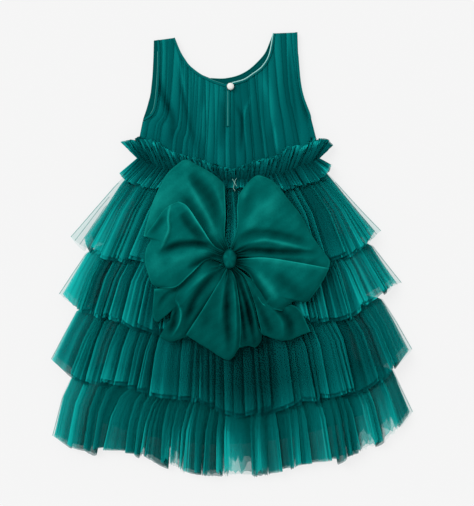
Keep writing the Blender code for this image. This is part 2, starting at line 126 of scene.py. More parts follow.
# Free edges, X against Y from the left side fold to the right one
HEM_1 = [(-244, 25), (-232, 14), (-220, 7.6), (-178, -4), (-145, 0), (-60, -8), (2, -12),
         (90, -6), (174, 4.5), (205, 16), (226, 34.6)]
HEM_2 = [(-261, -60.5), (-240, -76), (-200, -88), (-160, -97), (-118, -108), (-60, -116), (2, -121),
         (60, -110), (120, -95), (174, -89), (220, -58), (257, -44)]
HEM_3 = [(-273, -159), (-239, -179), (-183, -188), (-109, -208), (-44, -218), (7, -237),
         (66, -223), (146, -209), (228, -178), (272.6, -144)]
HEM_4 = [(-271, -275), (-240, -288), (-200, -294), (-124, -306), (-78, -324), (-2, -333),
         (42, -334), (112, -316), (164, -307), (200, -294), (248, -266), (273.5, -238)]
RUFFLE_LOWER_EDGE = [(-170.6, 121), (-158, 110), (-143.8, 105), (-116.6, 97.6), (-60, 97), (5, 99),
                     (80, 96.5), (111, 104), (136, 114), (154, 132.7)]
RUFFLE_UPPER_EDGE = [(-167, 169), (-151, 171.5), (-114, 168.5), (-99.5, 160), (-68, 147), (-48, 142),
                     (-22.5, 132.7), (5, 126.8), (23, 136), (42, 142.6), (69, 146.3), (84, 158.8),
                     (107, 163.7), (132, 173), (143, 171.2), (152, 163.7)]

# Sheer layers of each tube from the inside out: name, how far the free edge falls short, how far the
# side folds fall short besides the veil's reach, lift, share of the fold height, sideways shift as a
# share of a pleat, how uneven the raw edge is, material, all round or not
Layer = namedtuple("Layer", "name short narrow lift depth shift ragged material round_tube")
TIER_LAYERS = [
    Layer("inner", 6, 5, -3, 0.12, 0, 5, "tulle_deep", False),
    Layer("middle", -6, 2, -1.5, 0.85, 0, 8, "tulle_middle", False),
    Layer("outer", 0, 0, 0.3, 1, 0, 5, "tulle_outer", False),
    Layer("veil", 1, None, 1.6, 1, 0, 4, "tulle_veil", True),
]
# The lowest tier's layers end more unevenly, so that the floor shows through patches of its hem
HEM_LAYERS = [
    Layer("inner", 2, 1, -3, 0.12, 0, 34, "tulle_deep", False),
    Layer("middle", 0.5, 0, -1.5, 0.85, 0, 32, "tulle_middle", False),
    Layer("outer", 0, 0, 0.3, 1, 0, 14, "tulle_hem", False),
    Layer("veil", 1, None, 1.6, 1, 0, 8, "tulle_veil", True),
]
RUFFLE_LAYERS = [
    Layer("inner", 2, 1, -1.2, 0.9, 0.3, 5, "tulle_deep", True),
    Layer("middle", 1, 0.5, -0.4, 0.9, 0.5, 8, "tulle_middle", True),
    Layer("outer", 0, 0, 0.4, 1, 0, 7, "tulle_outer", True),
]
# What varies from strand to strand of a layer
Strands = namedtuple("Strands", "streaks frays through lines")
# The bow's shadows on the tiers
Shadow = namedtuple("Shadow", "centre reach depth")
SHADOWS = [Shadow((30, -175), (135, 95), 0.75), Shadow((105, 40), (60, 70), 0.35),
           Shadow((-60, 20), (60, 60), 0.2)]
# How much painted light brightens the side folds, left and right, and the least shade there
SIDE_GLOW = (0.4, 0.12)
SIDE_SHADE = 0.4
# How much painted light brightens the sheer layers at a free edge and where patches of it are thin
EDGE_GLOW = 0.12
PATCH_GLOW = 0.3
FRONT_SHADE = 0.45
MEAN_SHADE = 0.42
# How far the outermost single layer reaches past the others at the left and right tips of each tier
VEIL_REACH = [(22, 10), (6, 8), (2, 6), (3, 5)]
# Fine folds in the tips: how far in from the side fold, as a share of half the width, and where they start
TIP_FOLDS = [(0.002, 0.3), (0.028, 0.5), (0.06, 0.62)]
TIP_FOLD_RADIUS = 0.35
# How a tube is gathered: its pleats, the share that leans to the left, how much a pleat laps at the free
# edge, how far that edge drops on a fold, the painted shade at the seam, how far the edge frills to the
# sides, the rows of its mesh, and how strongly its shade follows the folds
Gathers = namedtuple("Gathers", "pleats split opened drop seam_shade frill rows contrast")
TIER_GATHERS = Gathers(32, 0.6, 0.8, 11, 0.5, 0, 20, 1)
LOWER_GATHERS = Gathers(58, 0.5, 0.9, 5, 0.55, 0, 12, 0.8)
UPPER_GATHERS = Gathers(58, 0.5, 0.9, 5, 0.55, 1.6, 12, 0.5)
STEPS_PER_SPAN = 4
# How far the gathered edge runs on under the seam, as a share of the tube's length
SEAM_TUCK = 0.06
# On a tube's front, how far each layer lies inside the next one out, for each millimetre of lift between
FRONT_OUTER_LIFT = 0.4
FRONT_STEP = 0.25

# Bodice: the waist edge, the side and armhole edges, and the neckline with the shoulder ends
WAIST_LEFT_X = -138
WAIST_RIGHT_X = 128
WAIST_SIDE_Y = 143.6
WAIST_SAG = 35
BACK_LEFT_EDGE = [(-138, 143.6), (-139.6, 171), (-133.6, 203), (-122.5, 210.4), (-117.5, 220.4),
                  (-114.5, 240.5), (-112.4, 268.6), (-111.4, 304.6), (-112.5, 322)]
FRONT_LEFT_EDGE = [(-138, 143.6), (-139.6, 171), (-133.6, 204), (-128.5, 218.3), (-122.5, 240.5),
                   (-119.5, 268.6), (-118.1, 296.8), (-117.5, 322)]
RIGHT_EDGE = [(128, 143.6), (127.6, 171), (119.6, 204), (117.5, 212.3), (108.5, 236.5),
              (103.6, 260.5), (100, 300.7), (98.8, 333.7)]
BACK_NECKLINE = [(-86, 325.6), (-76.3, 302.8), (-64.3, 284.7), (-48.2, 271.6), (-32, 263), (-11.9, 256),
                 (0, 257.5), (18, 262.6), (32, 271.6), (46, 282.7), (56.3, 300.7), (62.3, 332.3)]
FRONT_NECKLINE = [(-86, 325.6), (-76.3, 302.8), (-64.3, 284.7), (-48.2, 271.6), (-32, 265), (-11.9, 264.5),
                  (8, 268.6), (24.2, 276.7), (38.2, 288.7), (50.2, 302.8), (57.3, 318.8), (62.3, 332.3)]
# The share of a panel's length over which it rises to the waist, then the back overlay's height, its rise,
# how far its creases may sink and how strongly they change its shade
RISE_ROW = 0.333
BACK_TULLE_HEIGHT = 7.2
BACK_TULLE_RISE = 8.3
BACK_TULLE_DIP = 1.0
BODICE_FOLDS = 36
BODICE_SHADE = 0.34
CREASE_CONTRAST = 3

# The slit down the back, and the narrow bindings, with the heights of their middles and pipings
SLIT_X = -6
SLIT_WIDTH = 1.2
SLIT_END_Y = 192.8
SLIT_TOP_Y = 246
SLIT_BINDING_WIDTH = 2.8
SLIT_BINDING_TOP_Y = 252.6
SLIT_BINDING_MIDDLE = 8.3
BINDING_WIDTH = 3.5
BINDING_MIDDLE = 8.8
BINDING_HALF = 0.8
LEFT_ARMHOLE_Y = 203
RIGHT_ARMHOLE_Y = 204
PIPING_HEIGHT = 9.7
FRONT_PIPING_HEIGHT = 4.6
# A binding's cross section, across and up as shares of its half sizes, with both raw edges tucked in
BINDING_SECTION = [(-0.1, 0), (-0.15, -1), (-0.8, -0.8), (-1, 0), (-0.7, 0.8), (0, 1), (0.7, 0.8), (1, 0),
                   (0.8, -0.8), (0.15, -1), (0.1, 0)]

# The bodice's other layers: height, rise at the waist and gathers
Panel = namedtuple("Panel", "name node height rise gather left_edge neckline slit")
BODICE_LAYERS = [
    Panel("bodice_front_gathers", "bodice_front_tulle", 0.3, 7.7, 1.6, FRONT_LEFT_EDGE, FRONT_NECKLINE, False),
    Panel("bodice_front_inside", "bodice_front_base", 3.4, 6.3, 0.4, FRONT_LEFT_EDGE, FRONT_NECKLINE, False),
    Panel("bodice_back_inside", "bodice_back_base", 5.3, 8.3, 0.4, BACK_LEFT_EDGE, BACK_NECKLINE, True),
]
SKIRT_LINING = [
    Row((-136, 142), (126, 142), 107.3, 10, 0, 14, 14, 0, 1),
    Row((-156, 12), (150.6, 12), -20, 10, 0, 14, 14, 0, 1),
    Row((-196, -252), (198, -240), -285, 10, 0, 14, 14, 0, 1),
]
# Loose thread ends of the waist seam, in plan, on the lower ruffle
THREAD_ENDS = [[(1, 112), (4, 106), (2.5, 99), (5, 94)], [(7, 113), (4.5, 107), (7.5, 101)]]
THREAD_HEIGHT = 29.5

# Bow: seat height, and the wings over the solids' places. Each wing has its root angles on the knot in
# degrees, its root's height over the seat, the points of its two side folds and of its far edge in plan,
# the underside over the seat and the full height at the start and end of the far edge and half way, and
# how high its two side folds stay, as a share of the full height.
BOW_SEAT = 35.2
KNOT_CENTRE = (-3, -7)
KNOT_RADII = (10.5, 15)
KNOT_HEIGHT = 26.4
KNOT_OPENING = 0.7
ROOT_GAP = 0.3
ROOT_HEIGHT = 9
Wing = namedtuple("Wing", "name angles root first_side last_side edge under height folds")
WINGS = [
    Wing("bow_loop_upper_left", (164, 97), 0, [(-45, 5), (-95, 18)], [(-10, 30), (-9, 60)],
         [(-131, 27), (-125, 53), (-117, 79), (-99, 116), (-81, 134), (-68, 141), (-53, 134), (-30, 121),
          (-16, 110), (-11, 104)], (-2.5, -7, -7.5), (8, 17, 15), (0.5, 0.75)),
    Wing("bow_puff_left", (202, 135), 6.4, [(-36, -8), (-62, -31), (-82, -48)],
         [(-27, 14), (-47, 44), (-65, 70)],
         [(-106, -50), (-118, -44), (-125, -26), (-129, -8), (-126, 10), (-120, 21), (-127, 28), (-114, 47),
          (-102, 64), (-91, 73), (-79, 78)], (6.5, 6.5, 8.5), (14, 20, 17), (0.8, 0.95)),
    Wing("bow_loop_upper_right", (84, 3), 0, [(8, 40), (8, 65)], [(40, -14), (95, -22)],
         [(10, 87), (22, 104), (37, 117), (52, 114), (67, 104), (85, 81), (102, 60), (117, 32), (134, 7),
          (146, -10), (143, -23)], (-4.5, -5.5, 0), (14, 21, 8), (0.7, 0.4)),
    Wing("bow_loop_lower_right", (-2, -40), 0, [(46, -5), (90, -11)], [(27, -31), (36, -57), (48, -76)],
         [(145, -21), (134, -42), (123, -58), (111, -71), (94, -70), (83, -76), (76, -85)],
         (0, 0, 0), (19, 19, 14), (0.95, 0.8)),
    Wing("bow_tail_right", (-44, -65), 0, [(30, -38), (66, -70), (98, -80)], [(19, -35), (33, -70), (40, -98)],
         [(117, -115), (101, -121), (85, -128), (64, -126), (45, -119)], (0, 0, 0), (6, 10, 9), (0.5, 0.7)),
    Wing("bow_folds_right", (-62, -84), 0, [(20, -38), (33, -75), (39, -105)],
         [(2, -35), (8, -80), (11, -120)],
         [(45, -117), (43, -129), (35, -138), (24, -136), (12, -139)], (2.5, 3, 3), (8, 9, 8), (0.6, 0.6)),
    Wing("bow_tail_centre", (-82, -117), 0, [(6, -38), (12, -80), (14, -112)], [(-17, -38), (-42, -80)],
         [(12, -138), (-5, -157), (-36, -140), (-68, -120)], (3, 3, 2.5), (9, 14, 10), (0.8, 0.95)),
    Wing("bow_tail_left", (-112, -150), 0, [(-12, -38), (-23, -57), (-43, -88)],
         [(-40, -7), (-60, -23), (-77, -43)],
         [(-63, -121), (-83, -128), (-95, -129), (-106, -121), (-93, -102), (-88, -78), (-85, -62)],
         (0, 0, 0), (8, 12, 9), (0.25, 0.6)),
    Wing("bow_tab_left", (-140, -155), 0, [(-50, -38), (-76, -60)], [(-60, -32), (-92, -48)],
         [(-86, -70), (-97, -88), (-110, -101), (-117, -88), (-115, -52)], (0, 0, 0), (5, 7, 6), (0.7, 0.8)),
]
# Creases of each wing: a line in plan, its half width, how far it rises (or sinks, below zero), and how
# far the right side of the line stands above its left side, as where one fold lies over another
Crease = namedtuple("Crease", "line width rise step")
CREASES = {
    "bow_loop_upper_left": [
        Crease([(-62, 122), (-44, 98), (-25, 72), (-13, 32)], 9, -8, 0),
        Crease([(-68, 118), (-52, 85), (-32, 50), (-18, 16)], 5, 4, 0),
        Crease([(-74, 88), (-53, 60), (-32, 30)], 6, -5, 0),
        Crease([(-24, 106), (-16, 70), (-12, 40)], 5, 3, 0),
        Crease([(-85, 106), (-108, 78), (-122, 45)], 12, 3, 0)],
    "bow_puff_left": [
        Crease([(-90, 76), (-93, 53), (-92, 36), (-98, 20), (-107, 2)], 2.2, 3, 4),
        Crease([(-78, 77), (-60, 62), (-44, 37), (-24, 8)], 3.5, 4, 0),
        Crease([(-74, 62), (-59, 40), (-38, 18)], 6, -7, 0),
        Crease([(-22, 8), (-50, 15), (-82, 12), (-112, -2)], 5, -9, 0),
        Crease([(-18, 2), (-42, 3), (-70, -6), (-100, -8)], 8, 4, 0),
        Crease([(-20, 0), (-40, -9), (-64, -22)], 4, -6, 0),
        Crease([(-98, 58), (-108, 42), (-122, 26)], 5, -5, 0),
        Crease([(-122, -5), (-105, -20), (-85, -32)], 12, 3, 0)],
    "bow_loop_upper_right": [
        Crease([(8, 22), (38, 31), (73, 27), (122, 14)], 6, -6, 0),
        Crease([(12, 12), (46, 20), (78, 15), (124, 4)], 4, 5, 0),
        Crease([(10, 4), (34, 5), (70, 3), (132, 1)], 4.5, -8, 0),
        Crease([(8, 26), (41, 62), (84, 94)], 12, 4, 0),
        Crease([(8, 30), (26, 76), (38, 114)], 9, -4, 0),
        Crease([(12, 80), (24, 98), (38, 108)], 8, 3, 0)],
    "bow_loop_lower_right": [
        Crease([(18, -9), (48, -8), (88, -14), (143, -24)], 5, 3, 0),
        Crease([(17, -20), (22, -45), (28, -64), (38, -75), (50, -73), (59, -62)], 1.8, 2, 3),
        Crease([(14, -16), (34, -40), (48, -66), (60, -84)], 6, -7, 0),
        Crease([(30, -22), (56, -50), (78, -82)], 8, 5, 0),
        Crease([(60, -26), (90, -50), (108, -72)], 9, -4, 0)],
    "bow_tail_right": [
        Crease([(60, -72), (84, -98), (92, -128)], 6, -5, 0),
        Crease([(50, -70), (74, -98), (76, -128)], 4, 3, 0),
        Crease([(32, -60), (50, -96), (62, -126)], 5, -4, 0)],
    "bow_folds_right": [
        Crease([(8, -28), (24, -78), (36, -138)], 3, -5, 0),
        Crease([(12, -28), (30, -78), (42, -128)], 2.5, 3, 0),
        Crease([(3, -28), (14, -80), (22, -138)], 2.5, -4, 0)],
    "bow_tail_centre": [
        Crease([(-4, -30), (-6, -84), (-2, -150)], 5, -6, 0),
        Crease([(1, -28), (6, -76), (7, -142)], 3, 4, 0),
        Crease([(-8, -28), (-14, -66), (-18, -110)], 4, 3, 0),
        Crease([(-11, -30), (-30, -80), (-46, -132)], 8, -3, 0)],
    "bow_tail_left": [
        Crease([(-85, -66), (-78, -76), (-75, -90), (-79, -106), (-90, -124)], 2.2, 3, -3),
        Crease([(-18, -26), (-42, -48), (-60, -80), (-70, -112)], 5, -6, 0),
        Crease([(-26, -22), (-54, -44), (-74, -66)], 5, 4, 0),
        Crease([(-82, -72), (-84, -98), (-92, -122)], 4, -4, 0)],
    "bow_tab_left": [
        Crease([(-70, -44), (-98, -62), (-112, -88)], 3, -3, 0)],
}

# Painted light and shade of single wings: how much lighter or darker each one is
WING_PAINTED_SHADING = {"bow_folds_right": -0.12, "bow_loop_upper_left": 0.05, "bow_loop_lower_right": 0.03,
              "bow_tail_centre": 0.03}

# The deeper folds of the back's overlay
BODICE_CREASES = [
    Crease([(-78, 262), (-70, 228), (-57, 172), (-57, 150)], 3.5, -2.6, 0),
    Crease([(-115, 280), (-104, 239), (-89, 202), (-95, 157)], 5, -3, 0),
    Crease([(-84, 310), (-76, 276), (-67, 221), (-56, 172)], 2.5, 2, 0),
    Crease([(4, 228), (15, 202), (13, 150)], 3, -2.4, 0),
    Crease([(30, 239), (19, 209), (21, 150)], 2.2, 2, 0),
    Crease([(64, 194), (69, 150)], 2.5, 2, 0),
    Crease([(86, 317), (88, 276), (94, 228), (103, 172)], 2.5, -2, 0),
    Crease([(101, 284), (109, 228), (116, 194)], 4, -2.6, 0),
    Crease([(-15, 234), (-12, 201), (-16, 156)], 5, -1.6, 0),
    Crease([(-40, 231), (-43, 194), (-39, 156)], 6, 1.6, 0),
    Crease([(45, 276), (57, 224), (54, 171)], 7, 1.8, 0),
]

# Each sheet's cut in metres: width and length, with the flat area where it isn't a rectangle. Veils and
# ruffles give their whole ring, and the other layers of a tier the back half that shows.
TIER_CUTS = [
    [(0.74, 0.110), (0.87, 0.120), (0.87, 0.120), (1.30, 0.120)],
    [(0.82, 0.132), (0.93, 0.140), (0.93, 0.140), (1.36, 0.140)],
    [(0.86, 0.148), (0.98, 0.155), (0.98, 0.155), (1.42, 0.155)],
    [(0.90, 0.135), (1.00, 0.140), (1.02, 0.145), (1.50, 0.145)],
]
RUFFLE_CUTS = [
    ("waist_ruffle_lower", "tier_1_veil", [(0.98, 0.021), (1.00, 0.022), (1.10, 0.023)]),
    ("waist_ruffle_upper", "bodice_back_gathers", [(1.55, 0.025), (1.61, 0.025), (1.75, 0.026)]),
]
LINING_CUT = (0.79, 0.385)
LINING_AREA = 0.262
OVERLAY_CUT = (0.28, 0.215)
OVERLAY_AREA = 0.044
INSIDE_CUT = (0.27, 0.215)
INSIDE_AREA = 0.042
BINDING_STRIP = 0.01
BINDING_LENGTHS = {
    "neck_binding_left": 0.105, "neck_binding_right": 0.105, "armhole_binding_left": 0.122,
    "armhole_binding_right": 0.135, "slit_binding": 0.121,
}
WING_CUTS = {
    "bow_loop_upper_left": (0.25, 0.26, 0.0273), "bow_puff_left": (0.17, 0.22, 0.021),
    "bow_loop_upper_right": (0.235, 0.25, 0.0292), "bow_loop_lower_right": (0.105, 0.26, 0.0151),
    "bow_tail_right": (0.077, 0.24, 0.0095), "bow_folds_right": (0.045, 0.25, 0.0068),
    "bow_tail_centre": (0.095, 0.27, 0.014), "bow_tail_left": (0.13, 0.24, 0.0136),
    "bow_tab_left": (0.095, 0.2, 0.0068),
}
KNOT_CUT = (0.05, 0.04)
# Small pieces that go with a sheet
GOES_WITH = {f"tier_{number}_veil": [f"tier_{number}_tip_folds"] for number in range(1, 5)}
GOES_WITH.update({
    "waist_ruffle_lower_outer": ["loose_thread_1", "loose_thread_2"],
    "neck_binding_left_cloth": ["neck_piping_left"], "neck_binding_right_cloth": ["neck_piping_right"],
    "bodice_front_inside": ["neck_piping_front"], "slit_binding_cloth": ["slit_piping"],
    "armhole_binding_left_cloth": ["armhole_piping_left"],
    "armhole_binding_right_cloth": ["armhole_piping_right"],
})

# The photograph's frame on the surface, and the camera over it
FRAME_CENTRE = (7.9, 1.6)
FRAME_HEIGHT = 759
CAMERA_HEIGHT = 2200
MEAN_HEIGHT = 15
SENSOR = 24
FLOOR_REACH = 6
FLOOR_Z = -0.0004
FLOOR_GLOW = 0.785
SOFT_LIGHT = 0.62
KEY_LIGHT = 1.9


def lerp(a, b, share):
    return a + (b - a) * share


def linear(level):
    """One colour channel from 0 to 255 as linear light."""
    share = level / 255
    return share / 12.92 if share <= 0.04045 else ((share + 0.055) / 1.055) ** 2.4


def make_material(name, colour, roughness, alpha=1.0, gloss=0.0, coat=0.0):
    material = bpy.data.materials.new(name)
    material.use_nodes = True
    shader = material.node_tree.nodes["Principled BSDF"]
    shader.inputs["Base Color"].default_value = (*[linear(level) for level in colour], 1)
    shader.inputs["Roughness"].default_value = roughness
    shader.inputs["Alpha"].default_value = alpha
    shader.inputs["Specular IOR Level"].default_value = gloss
    shader.inputs["Coat Weight"].default_value = coat
    return material


def noise_over(material, size, detail=2):
    """Noise over a piece, in lumps of about this size in millimetres."""
    nodes = material.node_tree.nodes
    place = nodes.new("ShaderNodeTexCoord")
    noise = nodes.new("ShaderNodeTexNoise")
    noise.inputs["Scale"].default_value = 1 / (size * MM)
    noise.inputs["Detail"].default_value = detail
    material.node_tree.links.new(place.outputs["Object"], noise.inputs["Vector"])
    return noise.outputs["Fac"]


def colour_by(material, value, colours):
    """Colour a material by a value that runs through two or three colours."""
    nodes = material.node_tree.nodes
    links = material.node_tree.links
    ramp = nodes.new("ShaderNodeValToRGB")
    elements = ramp.color_ramp.elements
    if len(colours) == 3:
        elements.new(0.5)
    for element, colour in zip(elements, colours):
        element.color = (*[linear(level) for level in colour], 1)
    links.new(value, ramp.inputs["Fac"])
    links.new(ramp.outputs["Color"], nodes["Principled BSDF"].inputs["Base Color"])


def shaded_cloth(name, colours, roughness, alpha, grain_size, grain=0.06):
    """Cloth whose colour runs from dark to light with its shade attribute, and a fine grain over it."""
    material = make_material(name, colours[1], roughness, alpha)
    nodes = material.node_tree.nodes
    links = material.node_tree.links
    shade = nodes.new("ShaderNodeAttribute")
    shade.attribute_name = "shade"
    centred = nodes.new("ShaderNodeMath")
    centred.operation = "SUBTRACT"
    centred.inputs[1].default_value = 0.5
    links.new(noise_over(material, grain_size), centred.inputs[0])
    mixed = nodes.new("ShaderNodeMath")
    mixed.operation = "MULTIPLY_ADD"
    mixed.inputs[1].default_value = grain
    links.new(centred.outputs[0], mixed.inputs[0])
    links.new(shade.outputs["Fac"], mixed.inputs[2])
    colour_by(material, mixed.outputs[0], colours)
    return material


def add_weave(material, size, relief, roughness):
    """Threads: a fine relief, and a gloss that wanders a little round its mean."""
    nodes = material.node_tree.nodes
    links = material.node_tree.links
    shader = nodes["Principled BSDF"]
    threads = noise_over(material, size, 3)
    bump = nodes.new("ShaderNodeBump")
    bump.inputs["Strength"].default_value = relief
    bump.inputs["Distance"].default_value = 0.3 * MM
    links.new(threads, bump.inputs["Height"])
    links.new(bump.outputs["Normal"], shader.inputs["Normal"])
    gloss = nodes.new("ShaderNodeMapRange")
    gloss.inputs["To Min"].default_value = roughness - 0.12
    gloss.inputs["To Max"].default_value = roughness + 0.1
    links.new(threads, gloss.inputs["Value"])
    links.new(gloss.outputs["Result"], shader.inputs["Roughness"])
    return material


def woven_cloth(name, colour, roughness, size=1.6, alpha=1.0, relief=0.25):
    """Plain cloth in one colour that varies a little from thread to thread."""
    material = make_material(name, colour, roughness, alpha)
    colours = [[min(255, level * share) for level in colour] for share in (0.88, 1.1)]
    colour_by(material, noise_over(material, size, 3), colours)
    return add_weave(material, size, relief, roughness)


def pearl_material():
    """Pearl: a clear coat over a body whose tint wanders softly."""
    material = make_material("pearl", PEARL, 0.25, gloss=0.5, coat=0.6)
    colour_by(material, noise_over(material, 4), (PEARL_ROSE, PEARL))
    return material


def make_materials():
    """All materials by name. The sheer ones differ in their colours, the innermost one painted darker as in
    shade under the layers over it, and in how much they let through.
    """
    veil = (VEIL_IN_SHADE, VEIL_MIDDLE, VEIL_IN_LIGHT)
    tulle = (TULLE_IN_SHADE, TULLE_MIDDLE, TULLE_IN_LIGHT)
    hem = (HEM_IN_SHADE, TULLE_MIDDLE, TULLE_IN_LIGHT)
    deep = (DEEP_IN_SHADE, DEEP_MIDDLE, DEEP_IN_LIGHT)
    bodice = (BODICE_IN_SHADE, BODICE_MIDDLE, BODICE_IN_LIGHT)
    bow_colours = (BOW_IN_SHADE, BOW_MIDDLE, BOW_IN_LIGHT)
    return {
        "tulle_veil": shaded_cloth("tulle_veil", veil, 0.9, 0.14, 2),
        "tulle_outer": shaded_cloth("tulle_outer", tulle, 0.9, 0.76, 2),
        "tulle_hem": shaded_cloth("tulle_hem", hem, 0.9, 0.6, 2),
        "tulle_middle": shaded_cloth("tulle_middle", tulle, 0.9, 0.7, 2),
        "tulle_deep": shaded_cloth("tulle_deep", deep, 0.9, 0.93, 3),
        "bodice_tulle": shaded_cloth("bodice_tulle", bodice, 0.9, 0.72, 2),
        "bow": add_weave(shaded_cloth("bow", bow_colours, 0.6, 1.0, 3, 0.12), 1.5, 0.12, 0.6),
        "bodice_cloth": woven_cloth("bodice_cloth", BODICE_CLOTH, 0.8),
        "lining": woven_cloth("lining", LINING_CLOTH, 0.7),
        "binding": woven_cloth("binding", BINDING_CLOTH, 0.7),
        "pearl": pearl_material(),
        "slit": woven_cloth("slit", SLIT_CLOTH, 0.7),
        "tip_fold": woven_cloth("tip_fold", TIP_FOLD_TULLE, 0.85, alpha=0.7),
        "piping": woven_cloth("piping", PIPING_HIGHLIGHT, 0.6),
        "thread": woven_cloth("thread", THREAD, 0.8, size=0.6),
    }


def make_object(name, points, faces, material):
    """A mesh from points in millimetres, shaded smooth."""
    mesh = bpy.data.meshes.new(name)
    mesh.from_pydata((np.asarray(points, float) * MM).tolist(), [], faces)
    mesh.materials.append(material)
    for face in mesh.polygons:
        face.use_smooth = True
    obj = bpy.data.objects.new(name, mesh)
    bpy.context.collection.objects.link(obj)
    return obj


def grid_faces(rows, columns, ring):
    spans = columns if ring else columns - 1
    faces = []
    for r in range(rows - 1):
        for c in range(spans):
            here = r * columns + c
            beside = r * columns + (c + 1) % columns
            faces.append((here, here + columns, beside + columns, beside))
    return faces


def surface(name, grid, material, ring=False, shade=None, slit=False):
    rows, columns, _ = grid.shape
    points = grid.reshape(-1, 3)
    faces = grid_faces(rows, columns, ring)
    if slit:
        faces = [face for face in faces if not in_slit(points[list(face), :2].mean(axis=0))]
    piece = make_object(name, points, faces, material)
    if shade is not None:
        values = piece.data.attributes.new("shade", "FLOAT", "POINT")
        values.data.foreach_set("value", np.clip(shade, 0, 1).reshape(-1).astype(np.float32))
    return piece


def in_slit(place):
    return abs(place[0] - SLIT_X) < SLIT_WIDTH / 2 and place[1] > SLIT_END_Y


def smooth_line(x, points):
    """Y along a smooth curve through points that run from left to right."""
    known_x = np.array([p[0] for p in points], float)
    known_y = np.array([p[1] for p in points], float)
    slopes = np.gradient(known_y, known_x)
    span = np.clip(np.searchsorted(known_x, x) - 1, 0, len(known_x) - 2)
    width = known_x[span + 1] - known_x[span]
    t = (x - known_x[span]) / width
    start = (1 + 2 * t) * (1 - t) ** 2 * known_y[span] + t * (1 - t) ** 2 * width * slopes[span]
    end = t * t * (3 - 2 * t) * known_y[span + 1] + t * t * (t - 1) * width * slopes[span + 1]
    return start + end


def row_line(row, edge, s):
    """X and Y across one row, where s runs from -1 at the left fold to 1 at the right fold."""
    share = (s + 1) / 2
    x = lerp(row.left[0], row.right[0], share)
    if row.middle_y is None:
        return x, smooth_line(x, edge)
    side_y = lerp(row.left[1], row.right[1], share)
    sag = (row.left[1] + row.right[1]) / 2 - row.middle_y
    return x, side_y - sag * (1 - s * s)


def tube_row(rows, edge, s, v):
    """Place and heights at share v of the way from the gathered edge to the free edge."""
    at = v * (len(rows) - 1)
    k = min(int(at), len(rows) - 2)
    t = at - k
    x_a, y_a = row_line(rows[k], edge, s)
    x_b, y_b = row_line(rows[k + 1], edge, s)
    heights = [lerp(a, b, t) for a, b in zip(rows[k][3:], rows[k + 1][3:])]
    return lerp(x_a, x_b, t), lerp(y_a, y_b, t), heights


def spline(controls, per_span):
    """A smooth line through control points, with the same number of steps in each span."""
    points = np.array(controls, float)
    padded = np.vstack([2 * points[0] - points[1], points, 2 * points[-1] - points[-2]])
    t = np.arange(per_span) / per_span
    parts = []
    for k in range(len(points) - 1):
        p0, p1, p2, p3 = padded[k:k + 4]
        parts += [0.5 * (2 * p1 + (p2 - p0) * u + (2 * p0 - 5 * p1 + 4 * p2 - p3) * u ** 2
                         + (3 * p1 - p0 - 3 * p2 + p3) * u ** 3) for u in t]
    parts.append(points[-1])
    return np.array(parts)


def arc_shares(line):
    """How far along a line each of its points lies, from 0 to 1."""
    steps = np.linalg.norm(np.diff(line, axis=0), axis=1)
    return np.concatenate([[0], np.cumsum(steps)]) / np.sum(steps)


def along_line(line, shares):
    """The points of a plan line at these shares of its length."""
    along = arc_shares(line)
    return np.stack([np.interp(shares, along, line[:, 0]), np.interp(shares, along, line[:, 1])], -1)


def headings(line):
    """Unit vectors along a line."""
    heading = np.gradient(line, axis=0)
    return heading / np.linalg.norm(heading, axis=1)[:, None]


def fine_lines(name, lines, radius, material, resolution=2, caps=True):
    """One piece of fine cords along lines of points in millimetres."""
    curve = bpy.data.curves.new(name, "CURVE")
    curve.dimensions = "3D"
    curve.bevel_depth = radius * MM
    curve.bevel_resolution = resolution
    curve.use_fill_caps = caps
    for line in lines:
        path = curve.splines.new("POLY")
        path.points.add(len(line) - 1)
        for point, (x, y, z) in zip(path.points, line):
            point.co = (x * MM, y * MM, z * MM, 1)
    curve.materials.append(material)
    piece = bpy.data.objects.new(name, curve)
    bpy.context.collection.objects.link(piece)
    return piece


def pleat_run(pleats, opened, v, shift):
    """Folded-over pleats from 0 to 1 across, each with its crease on its left side.

    Columns: place across, height, distance under the next fold, drop of the free edge and lightness,
    the last four from 0 to 1. The lightness is painted light and shade: light at the crease, darker
    towards the next fold and darkest under it.
    """
    widths, laps, tops, drifts, drops, tones = pleats
    count = len(widths)
    creases = np.concatenate([[0], np.cumsum(widths)]) / np.sum(widths)
    wander = drifts * (v - 0.3) * 0.45 + shift
    wander[0] = 0
    wander[-1] = 0
    creases = creases + wander / count
    controls = []
    for k in range(count):
        left = creases[k]
        right = creases[k + 1]
        width = right - left
        lap = laps[k] * width * lerp(1.2, opened, v)
        top = tops[k] * (0.8 + 0.2 * math.sin(3 * v + 9 * laps[k]))
        after = tops[k + 1] if k + 1 < count else 0.3
        drop = drops[k]
        tone = tones[k]
        controls.append((left, top * 0.8, 0, 0, 0.45 + 0.6 * tone))
        controls.append((left + 0.12 * width, top, 0, 0.2 * drop, 0.66 * tone))
        controls.append((left + 0.4 * width, top * 0.95, 0, 0.5 * drop, 0.62 * tone))
        controls.append((right - 0.15 * width, top * 0.5, 0, 0.8 * drop, 0.3 * tone))
        if k + 1 < count:
            controls.append((right + 0.5 * lap, 0.05, 0.6, drop, 0.08))
            controls.append((right + lap, 0.06 + 0.1 * after, 1, 0.8 * drop, 0.0))
            controls.append((right + 0.45 * lap, 0.45 * after, 0.6, 0.3 * drop, 0.2))
    controls.append((1, 0.1, 0, 0, 0.3))
    return np.array(controls)


def pleated_edge(sides, split, v, opened, shift):
    """Pleats across a back half, leaning to the left up to the split and to the right beyond it."""
    left = pleat_run(sides[0], opened, v, shift)
    right = pleat_run(sides[1], opened, v, shift)
    left[:, 0] = -1 + 2 * split * left[:, 0]
    right[:, 0] = 1 - 2 * (1 - split) * right[:, 0]
    return spline(np.vstack([left, right[::-1][1:]]), STEPS_PER_SPAN)


